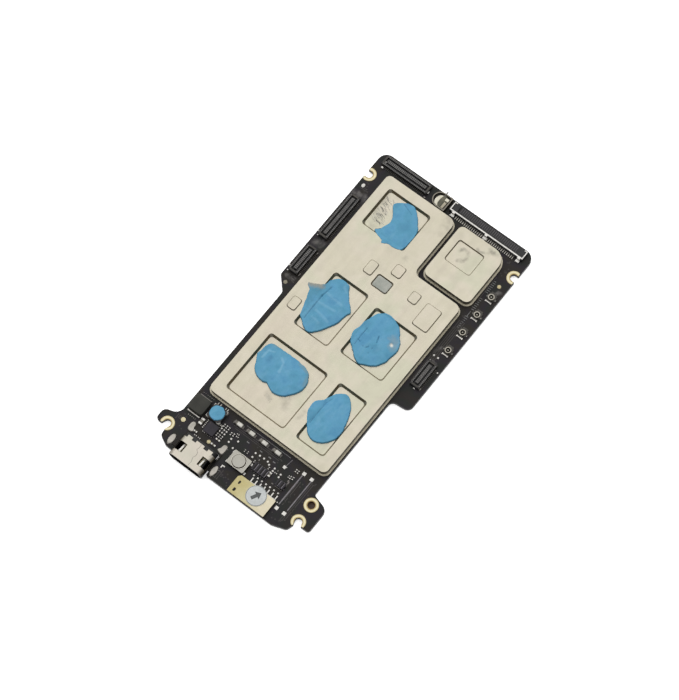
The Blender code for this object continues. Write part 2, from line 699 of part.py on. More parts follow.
def make_tongue(middle):
    width, thickness = PORT_TONGUE
    inner_width, inner_height = PORT_WIDTH - 2 * PORT_WALL - 0.1, PORT_HEIGHT - 2 * PORT_WALL - 0.1
    plastic = finish("port_insulator", *BLACK_PLASTIC)
    filling = [stadium(inner_width, inner_height)]
    plug = upright_plate("port_insulator", filling, PORT_BACK - 0.9, PORT_TAB_BACK + 0.5, PORT_X, middle)
    insulator = add_part("port_insulator", plug, plastic)
    blade = rounded_box(-width / 2, -thickness / 2, width / 2, thickness / 2, thickness / 2 * 0.9, 3)
    join(insulator, upright_plate("port_tongue", [blade], PORT_FRONT + 0.7, PORT_BACK, PORT_X, middle))
    pitch = 0.5
    left = PORT_X - pitch * (PORT_CONTACTS - 1) / 2 - 0.14
    fingers = comb(left, pitch, 0.28, PORT_CONTACTS, PORT_BACK - 0.95, PORT_BACK - 1.3, PORT_FRONT + 1.1)
    bottom = middle + thickness / 2 + SEAT_GAP
    mesh = plate_mesh("port_contacts", [fingers], bottom, bottom + 0.1)
    add_part("port_contacts", mesh, finish("port_contacts", *GOLD))


def bracket_outline():
    """The bracket from above: a bar along the back, and an arm with a hook at each end."""
    back = CABLE_REAR + 0.15
    bar = back + BRACKET_BAR
    tip = CABLE_FRONT - 0.1
    left, right = CABLE_LEFT, CABLE_RIGHT
    half = [
        (left, back),
        (left, tip),
        (left + BRACKET_HOOK, tip),
        (left + BRACKET_HOOK, tip - BRACKET_ARM),
        (left + BRACKET_ARM, tip - BRACKET_ARM),
        (left + BRACKET_ARM, bar),
    ]
    other = [(left + right - x, y) for x, y in half[::-1]]
    return (half + other)[::-1]


def make_cable_socket():
    """Housing, contact comb, and the bracket that is soldered down behind it."""
    top = SEAT + CABLE_HEIGHT
    floor_top = SEAT + CABLE_FLOOR
    tinned = finish("cable_socket_metal", *TINNED)
    outline = rounded_box(CABLE_LEFT, CABLE_REAR, CABLE_RIGHT, CABLE_FRONT, 0.1, 2)
    housing = add_part(
        "cable_socket_housing", plate_mesh("cable_socket_housing", [outline], SEAT, top),
        finish("cable_socket_housing", *BLACK_PLASTIC),
    )
    well_rear = CABLE_REAR + CABLE_BACK_DEPTH
    cut(housing, block_mesh(
        "cable_socket_well", CABLE_LEFT + CABLE_SIDE, well_rear, CABLE_RIGHT - CABLE_SIDE, CABLE_FRONT + 1,
        floor_top, top + 1,
    ))
    cut(housing, block_mesh(
        "cable_lead_groove", CABLE_LEFT + CABLE_SIDE, CABLE_REAR - 1,
        CABLE_RIGHT - CABLE_SIDE, CABLE_REAR + 0.3, SEAT - 1, SEAT + 0.25,
    ))
    middle = (CABLE_LEFT + CABLE_RIGHT) / 2
    left = middle - CABLE_PITCH * (CABLE_CONTACTS - 1) / 2 - 0.1
    teeth = comb(left, CABLE_PITCH, 0.2, CABLE_CONTACTS, -CABLE_REAR - 0.25, -CABLE_REAR, -CABLE_REAR + 0.8)
    leads = [(x, -y) for x, y in teeth][::-1]
    low = SEAT + 0.05
    add_part("cable_socket_leads", plate_mesh("cable_socket_leads", [leads], low, low + 0.12), tinned)
    under = top + SEAT_GAP
    bracket = add_part(
        "cable_socket_bracket",
        plate_mesh("cable_socket_bracket", [bracket_outline()], under, under + BRACKET_THICKNESS), tinned,
    )
    for index, x in enumerate(BRACKET_FEET):
        make_bracket_foot(bracket, index, x, under)


def make_bracket_foot(bracket, index, x, under):
    """A strip from the bar over the back of the housing, down to a foot on the board."""
    wall_front = CABLE_REAR - SLIDE_GAP
    wall_rear = wall_front - BRACKET_THICKNESS
    over = block_mesh(
        f"foot_over_{index}", x - 0.35, wall_rear, x + 0.35, CABLE_REAR + 0.3,
        under, under + BRACKET_THICKNESS,
    )
    drop = block_mesh(
        f"foot_drop_{index}", x - 0.35, wall_rear, x + 0.35, wall_front,
        SEAT + 0.19, under + BRACKET_THICKNESS,
    )
    foot = block_mesh(
        f"foot_{index}", x - 0.45, wall_rear - 0.55, x + 0.45, wall_rear + 0.05, SEAT + 0.19, SEAT + 0.34
    )
    for mesh in (over, drop, foot):
        join(bracket, mesh)


def make_connector(name, centre, length, along_y):
    """A stacking connector: moulding with a groove round its island, on a lead frame."""
    half_length, half_width = length / 2, CONNECTOR_WIDTH / 2
    leads_top = SEAT + CONNECTOR_LEADS_THICKNESS
    low = leads_top + SEAT_GAP
    body = rounded_box(-half_length, -half_width, half_length, half_width, 0.2, 2)
    outer, inner = 0.42, 0.8
    loops = [
        rounded_box(gap - half_length, gap - half_width, half_length - gap, half_width - gap, 0.15, 2)
        for gap in (outer, inner)
    ]
    moulding = plate_mesh(name + "_connector", [body], low, SEAT + CONNECTOR_HEIGHT)
    groove = plate_mesh(name + "_groove", loops, low + 0.25, SEAT + CONNECTOR_HEIGHT + 1)
    leads = plate_mesh(name + "_leads", [lead_outline(length)], SEAT, leads_top)
    place = Matrix.Translation((centre[0] * MM, centre[1] * MM, 0))
    turn = Matrix.Rotation(math.radians(90 if along_y else 0), 4, "Z")
    for mesh in (moulding, groove, leads):
        mesh.transform(place @ turn)
    cut(add_part(name + "_connector", moulding, MOULDING), groove)
    add_part(name + "_leads", leads, LEADS)


def lead_outline(length):
    """Leads on both sides of a spine under the moulding, the lower side being the upper one turned round."""
    tooth = 0.18
    spine = 0.3
    reach = CONNECTOR_WIDTH / 2 + 0.5
    count = int((length - 1.2) / CONNECTOR_PITCH)
    left = -CONNECTOR_PITCH * (count - 1) / 2 - tooth / 2
    upper = []
    for index in range(count):
        start = left + CONNECTOR_PITCH * index
        upper += [(start, spine), (start, reach), (start + tooth, reach), (start + tooth, spine)]
    upper = upper[1:-1]
    lower = [(-x, -y) for x, y in upper]
    return (upper + lower)[::-1]


def make_coax_sockets():
    """Four antenna sockets with one shape: a square base with solder tabs, a ring and a pin."""
    metal = finish("coax_socket", *STEEL)
    top = SEAT + COAX_HEIGHT
    base = rounded_box(-0.95, -0.9, 0.95, 0.9, 0.15, 2)
    model = add_part("coax_socket_1", plate_mesh("coax_socket_1", [base], SEAT, SEAT + 0.2), metal)
    join(model, block_mesh("coax_tabs", -0.7, -1.35, 0.7, 1.35, SEAT, SEAT + 0.12))
    join(model, block_mesh("coax_signal_tab", -1.2, -0.25, 1.3, 0.25, SEAT, SEAT + 0.12))
    ring = [circle((0, 0), COAX_RING_RADIUS, 20), circle((0, 0), COAX_RING_BORE, 20)]
    join(model, plate_mesh("coax_ring", ring, SEAT + 0.1, top))
    join(model, round_mesh("coax_pin", (0, 0), 0.17, SEAT + 0.1, top - 0.08, steps=10))
    graph = bpy.context.evaluated_depsgraph_get()
    mesh = bpy.data.meshes.new_from_object(model.evaluated_get(graph))
    model.modifiers.clear()
    model.data = mesh
    for index in range(COAX_COUNT):
        socket = model
        if index:
            socket = bpy.data.objects.new(f"coax_socket_{index + 1}", mesh)
            PARTS.objects.link(socket)
        socket.location = Vector((COAX_X, COAX_FIRST_Y + COAX_PITCH * index, 0)) * MM


def d_outline(inset):
    """A D with its round side to the left."""
    x, y = SENSOR_CENTRE
    radius = SENSOR_RADIUS - inset
    turns = [math.pi / 2 + math.pi * step / 14 for step in range(15)]
    round_side = [(x + radius * math.cos(turn), y + radius * math.sin(turn)) for turn in turns]
    return round_side + [(SENSOR_RIGHT - inset, y - radius), (SENSOR_RIGHT - inset, y + radius)]


def make_pressure_sensor():
    """The sensor's metal ring, and the ceramic core in it."""
    loops = [d_outline(0), d_outline(SENSOR_WALL)]
    ring = plate_mesh("pressure_sensor_ring", loops, SEAT, SEAT + SENSOR_HEIGHT)
    add_part("pressure_sensor_ring", ring, finish("sensor_ring", *STEEL))
    fit = SENSOR_WALL + SLIDE_GAP
    core = plate_mesh("pressure_sensor_core", [d_outline(fit)], SEAT, SEAT + SENSOR_HEIGHT - 0.35)
    add_part("pressure_sensor_core", core, finish("sensor_core", *CERAMIC))


def make_switch():
    """Base, metal cover, snap dome, and the round button that presses it."""
    x, y = SWITCH_CENTRE
    half_width, half_length = SWITCH_SIZE[0] / 2, SWITCH_SIZE[1] / 2
    top = SEAT + SWITCH_HEIGHT
    cover_under = top - 0.15
    outline = rounded_box(x - half_width, y - half_length, x + half_width, y + half_length, 0.25, 3)
    inner = 0.17
    room_width, room_length = half_width - inner, half_length - inner
    room = rounded_box(x - room_width, y - room_length, x + room_width, y + room_length, 0.15, 3)
    steel = finish("switch_cover", *STEEL)
    cover = add_part("switch_cover", plate_mesh("switch_cover", [outline], SEAT, top), steel)
    cut(cover, plate_mesh("switch_room", [room], SEAT - 1, cover_under))
    cut(cover, round_mesh("switch_hole", (x, y), BUTTON_RADIUS + SLIDE_GAP, SEAT, top + 1))
    inset = inner + SLIDE_GAP
    base = add_part(
        "switch_base",
        block_mesh(
            "switch_base", x - half_width + inset, y - half_length + inset, x + half_width - inset,
            y + half_length - inset, SEAT, cover_under - SLIDE_GAP,
        ),
        finish("switch_base", *BLACK_PLASTIC),
    )
    well_floor = SEAT + 0.15
    front, back = y - half_length, y + half_length
    well = block_mesh("switch_well", x - 1.85, front, x + 1.85, back, well_floor, top + 1)
    cut(base, well)
    dome_low = well_floor + SEAT_GAP
    dome = round_mesh("switch_dome", (x, y), 1.2, dome_low, dome_low + 0.2, top_radius=0.5)
    add_part("switch_dome", dome, finish("switch_dome", *STEEL))
    flange_high = cover_under - SLIDE_GAP
    flange_low = dome_low + 0.2 + BUTTON_TRAVEL + SEAT_GAP
    flange = rounded_box(x - 1.75, y - 1.2, x + 1.75, y + 1.2, 0.3, 3)
    button = add_part(
        "switch_button", plate_mesh("switch_button", [flange], flange_low, flange_high),
        finish("switch_button", *WHITE_PLASTIC), origin=(x, y, top),
    )
    join(button, round_mesh("button_stem", (x, y), BUTTON_RADIUS, flange_low, top + BUTTON_RISE))


def make_edge_socket():
    """A low socket at the board's edge: moulded body, gold cover, leads behind it and a paper disc on top."""
    top = SEAT + SOCKET_HEIGHT
    corner = 0.6
    outline = rounded(
        (
            (SOCKET_LEFT, SOCKET_FRONT, 0.1),
            (SOCKET_RIGHT, SOCKET_FRONT, 0.1),
            (SOCKET_RIGHT, SOCKET_REAR, 0.15),
            (SOCKET_LEFT + corner, SOCKET_REAR, 0.2),
            (SOCKET_LEFT, SOCKET_REAR - corner, 0.2),
        ),
        2,
    )
    slots = [rounded_box(2.75, y - 0.42, 3.15, y + 0.42, 0.18, 3) for y in (-39.25, -41.15)]
    cover = add_part(
        "edge_socket_cover", plate_mesh("edge_socket_cover", [outline, *slots], SEAT, top),
        finish("edge_socket_cover", *GOLD),
    )
    wall = 0.15
    cut(cover, block_mesh(
        "edge_socket_room", SOCKET_LEFT + wall, SOCKET_FRONT - 1,
        SOCKET_RIGHT - wall, SOCKET_REAR - corner - 0.1, SEAT - 1, top - wall,
    ))
    fit = wall + SLIDE_GAP
    body = block_mesh(
        "edge_socket_body", SOCKET_LEFT + fit, SOCKET_FRONT + 2.6,
        SOCKET_RIGHT - fit, SOCKET_REAR - corner - 0.1 - SLIDE_GAP, SEAT, top - fit,
    )
    add_part("edge_socket_body", body, finish("edge_socket_body", *BLACK_PLASTIC))
    left = SOCKET_FIRST_LEAD - 0.13
    root, base, tip = SOCKET_REAR + SLIDE_GAP, SOCKET_REAR + 0.25, SOCKET_REAR + 1.2
    fingers = comb(left, SOCKET_LEAD_PITCH, 0.26, SOCKET_LEADS, root, base, tip)
    leads = plate_mesh("edge_socket_leads", [fingers], SEAT, SEAT + 0.15)
    add_part("edge_socket_leads", leads, finish("edge_socket_leads", *TINNED))
    disc = plate_mesh("round_sticker", [circle(STICKER_CENTRE, STICKER_RADIUS)], top + SEAT_GAP, top + 0.1)
    add_part("round_sticker", disc, finish("sticker_paper", *PAPER))


def make_power_corner():
    """Inductors, the putty disc on one of them, the charging chips and the row of capacitors."""
    package = finish("power_chip_package", *BLACK_PLASTIC)
    centre, size = POWER_INDUCTOR
    make_chip("power_inductor", centre, size, finish("ferrite", *FERRITE), 0.5)
    centre, size = COIL_INDUCTOR
    make_chip("coil_inductor", centre, size, finish("coil_case", *TINNED), 0.3)
    putty_low = SEAT + size[2] + SEAT_GAP
    spot = (centre[0] - 0.05, centre[1] + 0.1)
    putty = round_mesh("inductor_putty", spot, INDUCTOR_PUTTY_RADIUS, putty_low, putty_low + 0.5)
    add_part("inductor_putty", putty, finish("inductor_putty", *PUTTY))
    centre, size = CHARGER_CHIP
    make_chip("charger_chip", centre, size, package)
    for name, (centre, size) in CORNER_CHIPS.items():
        make_chip(name, centre, size, package)
    tinned = finish("capacitor", *TINNED)
    for index, x in enumerate(CAPACITOR_XS):
        make_chip(f"capacitor_{index + 1}", (x, CAPACITOR_Y), CAPACITOR_SIZE, tinned, 0.1)


clear_scene()
PARTS = new_collection("flight_controller_board")
CUTTERS = new_collection("cutters")
MOULDING = finish("connector_moulding", *BLACK_PLASTIC)
LEADS = finish("connector_leads", *TINNED)
make_circuit_board()
make_screw_rings()
make_shields()
make_putty()
make_filler_pad()
make_shielded_chips()
make_charging_port()
make_cable_socket()
for connector, (spot, span, upright) in CONNECTORS.items():
    make_connector(connector, spot, span, upright)
make_coax_sockets()
make_pressure_sensor()
make_switch()
make_edge_socket()
make_power_corner()
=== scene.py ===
"""Flight controller board: finishes, solder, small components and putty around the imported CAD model.

Lengths are in millimetres unless a name says otherwise, and become metres where a mesh is made.
"""

import math
import random
from itertools import product

import bmesh
import bpy
from mathutils import Euler, Matrix, Vector, noise
from mathutils.bvhtree import BVHTree
from mathutils.kdtree import KDTree


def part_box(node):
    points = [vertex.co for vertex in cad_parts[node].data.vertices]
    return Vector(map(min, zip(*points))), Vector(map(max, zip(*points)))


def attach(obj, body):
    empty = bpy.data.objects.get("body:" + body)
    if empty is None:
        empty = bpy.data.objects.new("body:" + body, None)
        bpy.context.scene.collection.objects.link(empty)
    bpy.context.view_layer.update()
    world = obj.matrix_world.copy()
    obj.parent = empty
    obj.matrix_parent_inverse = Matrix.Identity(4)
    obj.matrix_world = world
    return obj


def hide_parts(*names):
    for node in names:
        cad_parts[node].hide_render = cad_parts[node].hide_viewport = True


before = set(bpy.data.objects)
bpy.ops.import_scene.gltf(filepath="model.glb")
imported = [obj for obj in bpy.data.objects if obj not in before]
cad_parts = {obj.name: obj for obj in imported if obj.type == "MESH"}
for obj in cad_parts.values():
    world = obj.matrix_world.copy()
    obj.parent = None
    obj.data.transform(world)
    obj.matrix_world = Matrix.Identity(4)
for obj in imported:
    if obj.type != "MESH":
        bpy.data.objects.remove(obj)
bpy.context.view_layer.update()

MM = 0.001
BOARD_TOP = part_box("circuit_board")[1].z / MM
LID_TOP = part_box("small_shield_lid")[1].z / MM
RECESS_FLOOR = LID_TOP - 0.7
SUNK = 0.02
WELD = 0.000002

RING_CENTRES = {
    "screw_ring_top_left": (-19.25, 33.65),
    "screw_ring_top_right": (20.8, 33.3),
    "screw_ring_bottom_left": (-17.75, -38.25),
    "screw_ring_bottom_right": (18.0, -38.3),
    "ground_ring": (17.9, -33.8),
}
RING_BORE, RING_WIDTH = 0.85, 0.75

SHIELDED_CHIPS = ("processor", "memory", "video", "radio", "power_manager", "position")
STACKING = {"top": (0, 1), "left_long": (1, 2), "left_short": (1, 1), "right": (1, 2)}  # axis, islands

CAMERA_PLACE = (0.128214, -0.140301, 0.504754)
CAMERA_TURN = (20.3223, 1.6993, 38.1834)
CAMERA_LENS = 128.571
CAMERA_SENSOR, CAMERA_RANGE = 36.0, (0.01, 20.0)


# ---------------------------------------------------------------- materials

FLATTEN = (1, 1, 0)
SMEAR_RAG, SMEAR_FADE = 1.8, (0.2, 1.1)


def linear(colour):
    """An 8-bit display colour as linear red, green, blue and alpha."""
    shares = [channel / 255 for channel in colour]
    return tuple(s / 12.92 if s <= 0.04045 else ((s + 0.055) / 1.055) ** 2.4 for s in shares) + (1.0,)


class Nodes:
    """An emptied node tree, with a short way to add to it."""

    def __init__(self, tree):
        self.tree = tree
        self.tree.nodes.clear()

    def add(self, kind, inputs=None, **settings):
        node = self.tree.nodes.new(kind)
        for key, value in settings.items():
            setattr(node, key, value)
        for key, value in (inputs or {}).items():
            if isinstance(value, bpy.types.NodeSocket):
                self.tree.links.new(value, node.inputs[key])
            else:
                node.inputs[key].default_value = value
        return node


class Finish(Nodes):
    """A material, with short ways to build its look. Texture scales are per metre."""

    def __init__(self, name):
        self.material = bpy.data.materials.new(name)
        self.material.use_nodes = True
        super().__init__(self.material.node_tree)
        self.place = self.add("ShaderNodeTexCoord").outputs["Object"]

    def noise(self, scale, detail=3.0, stretch=(1, 1, 1)):
        stretched = self.add("ShaderNodeMapping", {"Vector": self.place, "Scale": stretch}).outputs[0]
        inputs = {"Vector": stretched, "Scale": scale, "Detail": detail}
        return self.add("ShaderNodeTexNoise", inputs).outputs[0]

    def ramp(self, factor, colours, low=0.35, high=0.65):
        node = self.add("ShaderNodeValToRGB", {0: factor})
        stops = node.color_ramp.elements
        while len(stops) < len(colours):
            stops.new(0.5)
        for i, colour in enumerate(colours):
            stops[i].position = low + (high - low) * i / (len(colours) - 1)
            stops[i].color = linear(colour)
        return node.outputs[0]

    def span(self, factor, low, high, source=(0.3, 0.7)):
        inputs = {0: factor, 1: source[0], 2: source[1], 3: low, 4: high}
        return self.add("ShaderNodeMapRange", inputs).outputs[0]

    def math(self, operation, first, second):
        return self.add("ShaderNodeMath", {0: first, 1: second}, operation=operation).outputs[0]

    def mix(self, factor, first, second, blend="MIX"):
        inputs = {0: factor, 6: first, 7: second}
        return self.add("ShaderNodeMix", inputs, data_type="RGBA", blend_type=blend).outputs[2]

    def tint(self, factor, under, colour):
        """The colour laid over what is under it, as far as the factor says."""
        return self.mix(factor, under, linear(colour))

    def axis(self, vector, index):
        return self.add("ShaderNodeSeparateXYZ", {0: vector}).outputs[index]

    def wobble(self, scale, reach):
        """A distance that wanders to either side of zero."""
        return self.math("MULTIPLY", self.math("SUBTRACT", self.noise(scale, 4.0), 0.5), reach)

    def vector(self, operation, first, second=(0, 0, 0), output=0, **sockets):
        inputs = {0: first, 1: second, **sockets}
        return self.add("ShaderNodeVectorMath", inputs, operation=operation).outputs[output]

    def smears(self, rows):
        """1 along the given smears (x0, y0, x1, y1, half width), fading out over a ragged rim."""
        flat = self.vector("MULTIPLY", self.place, FLATTEN)
        ragged = self.math("SUBTRACT", self.noise(1100, 4.0), 0.5)
        total = None
        for x0, y0, x1, y1, radius in rows:
            along = Vector((x1 - x0, y1 - y0, 0)) * MM
            away = self.vector("SUBTRACT", flat, Vector((x0, y0, 0)) * MM)
            if along.length:
                share = self.vector("DOT_PRODUCT", away, along / along.length_squared, "Value")
                share = self.add("ShaderNodeClamp", {0: share}).outputs[0]
                nearest = self.vector("SCALE", along, Scale=share)
                away = self.vector("SUBTRACT", away, nearest)
            away = self.vector("LENGTH", away, output="Value")
            away = self.math("ADD", away, self.math("MULTIPLY", ragged, radius * MM * SMEAR_RAG))
            mask = self.span(away, 1.0, 0.0, [radius * MM * share for share in SMEAR_FADE])
            total = mask if total is None else self.math("MAXIMUM", total, mask)
        return total

    def steep(self, range_up):
        """0 where the normal points up more than the range's first value, 1 where less than its second."""
        return self.span(self.axis(self.add("ShaderNodeTexCoord").outputs["Normal"], 2), 0.0, 1.0, range_up)

    def below(self, low, high):
        """1 under the height low, 0 over the height high, in millimetres."""
        return self.span(self.axis(self.place, 2), 1.0, 0.0, (low * MM, high * MM))

    def finish(self, colour, rough, height=None, bump=0.2, depth=0.00002, **constants):
        shader = self.add("ShaderNodeBsdfPrincipled", {"Base Color": colour, "Roughness": rough})
        for key, value in constants.items():
            shader.inputs[key.replace("_", " ").title().replace("Ior", "IOR")].default_value = value
        if height is not None:
            relief = self.add("ShaderNodeBump", {"Height": height, "Strength": bump, "Distance": depth})
            self.tree.links.new(relief.outputs[0], shader.inputs["Normal"])
        output = self.add("ShaderNodeOutputMaterial", {"Surface": shader.outputs[0]})
        self.tree.nodes.active = output
        return self.material


# Painted shade: sheet metal darkens to these tints as its faces turn from level to upright.
SLOPE_SHADE_TINT, SLOPE_RANGE = (122, 110, 86), (0.86, 0.5)
WALL_SHADE_TINT, WALL_RANGE = (45, 38, 28), (0.38, 0.12)
GRAIN_SHADE, GRAIN_SHINE = 0.12, 0.048


def speckled(name, tints, broad, fine, rough, metallic=0.0, level=0.5, bump=0.25, smears=(), smear_tint=()):
    """A finish whose tints drift over the surface, with a fine grain in colour, roughness and relief."""
    look = Finish(name)
    grain = look.noise(fine, 5.0)
    toned = look.ramp(look.noise(broad, 3.0), tints)
    if smears:
        streaks = look.span(look.noise(900, 4.0, (1, 0.3, 1)), 0.1, 0.95)
        toned = look.tint(look.math("MULTIPLY", look.smears(smears), streaks), toned, smear_tint)
    dark = look.span(grain, 1 - GRAIN_SHADE, 1 + GRAIN_SHINE)
    grey = look.add("ShaderNodeCombineColor", {0: dark, 1: dark, 2: dark}).outputs[0]
    toned = look.mix(1.0, toned, grey, "MULTIPLY")
    constants = {"metallic": metallic, "specular_ior_level": level}
    return look.finish(toned, look.span(grain, *rough), grain, bump, **constants)


def sheet_metal(name, tints, smears, smear_tint, strength=0.6, shaded=None, low_shade_tint=(30, 28, 26)):
    """Satin sheet: rolling lines, drifting tints, dull smears, and brown painted shade on what stands up or
    lies low.
    """
    look = Finish(name)
    rolled = look.noise(900, 4.0, (1, 0.08, 1))
    grain = look.noise(3500, 4.0)
    drift = look.ramp(look.noise(110, 3.0), tints)
    toned = look.tint(look.span(look.noise(380, 5.0), 0.0, 0.2, (0.45, 0.75)), drift, smear_tint)
    dull = look.span(rolled, 0.28, 0.42)
    if smears:
        patch = look.math("MULTIPLY", look.smears(smears), look.span(look.noise(800, 4.0), 0.1, strength))
        toned = look.tint(patch, toned, smear_tint)
        dull = look.math("ADD", dull, look.math("MULTIPLY", patch, 0.15))
    # Painted shade on slopes and walls, and under the given heights where shaded is set.
    toned = look.tint(look.steep(SLOPE_RANGE), toned, SLOPE_SHADE_TINT)
    toned = look.tint(look.steep(WALL_RANGE), toned, WALL_SHADE_TINT)
    if shaded:
        toned = look.tint(look.below(*shaded), toned, low_shade_tint)
    height = look.math("ADD", look.math("MULTIPLY", rolled, 0.6), look.math("MULTIPLY", grain, 0.4))
    return look.finish(toned, dull, height, 0.12, 0.00001, metallic=0.85)


def gold_cover_finish():
    """Thin gold plating over nickel: yellower towards the left, paler towards the right, mottled."""
    look = Finish("gold_cover")
    across = look.math("ADD", look.axis(look.place, 0), look.wobble(500, 8 * MM))
    along = look.span(across, 0.0, 1.0, (2.5 * MM, 10.5 * MM))
    toned = look.ramp(along, ((153, 144, 103), (163, 156, 122), (176, 169, 148)), 0.0, 1.0)
    # Painted shade on the cover's steep sides.
    toned = look.tint(look.steep(SLOPE_RANGE), toned, (84, 70, 40))
    grain = look.noise(3000, 4.0)
    return look.finish(toned, look.span(grain, 0.32, 0.48), grain, 0.15, 0.00001, metallic=0.75)


def gold_ring_finish(name, x, y):
    """Gold plating round a screw hole: brown at the inner edge, partly the barrel's plating and partly
    painted shade, cream over the rest.
    """
    look = Finish(name)
    flat = look.vector("MULTIPLY", look.place, FLATTEN)
    away = look.vector("LENGTH", look.vector("SUBTRACT", flat, Vector((x, y, 0)) * MM), output="Value")
    away = look.math("ADD", away, look.wobble(900, 0.3 * MM))
    share = look.span(away, 0.0, 1.0, (RING_BORE * MM, (RING_BORE + RING_WIDTH) * MM))
    # The first, brown tint is partly the barrel's plating and partly painted shade at the hole's rim.
    tints = ((112, 92, 54), (160, 146, 104), (188, 182, 154), (184, 176, 146), (148, 136, 100))
    grain = look.noise(3500, 4.0)
    toned = look.ramp(share, tints, 0.0, 1.0)
    return look.finish(toned, look.span(grain, 0.26, 0.4), grain, 0.25, metallic=0.7)


BLUES = ((72, 132, 166), (80, 140, 172), (76, 138, 167), (70, 130, 160))
# The deep blue is painted shade laid along the putty's creases and dents.
PALE_BLUE, CREASE_SHADE_BLUE = (122, 168, 192), (44, 92, 124)


def putty_finish(name, layers):
    """Soft silicone gap filler, with layers of (smears, tint, strength) for painted shade in creases and for
    worn spots.
    """
    look = Finish(name)
    toned = look.ramp(look.noise(300, 4.0), BLUES)
    streak = look.span(look.noise(600, 5.0, (1, 0.4, 1)), 0.0, 0.3, (0.52, 0.8))
    toned = look.tint(streak, toned, PALE_BLUE)
    for rows, tint, strength in layers:
        toned = look.tint(look.math("MULTIPLY", look.smears(rows), strength), toned, tint)
    grain = look.noise(1600, 6.0)
    height = look.math("ADD", grain, look.math("MULTIPLY", look.noise(420, 5.0), 0.8))
    return look.finish(toned, look.span(grain, 0.5, 0.68), height, 0.4, 0.00006, specular_ior_level=0.28)


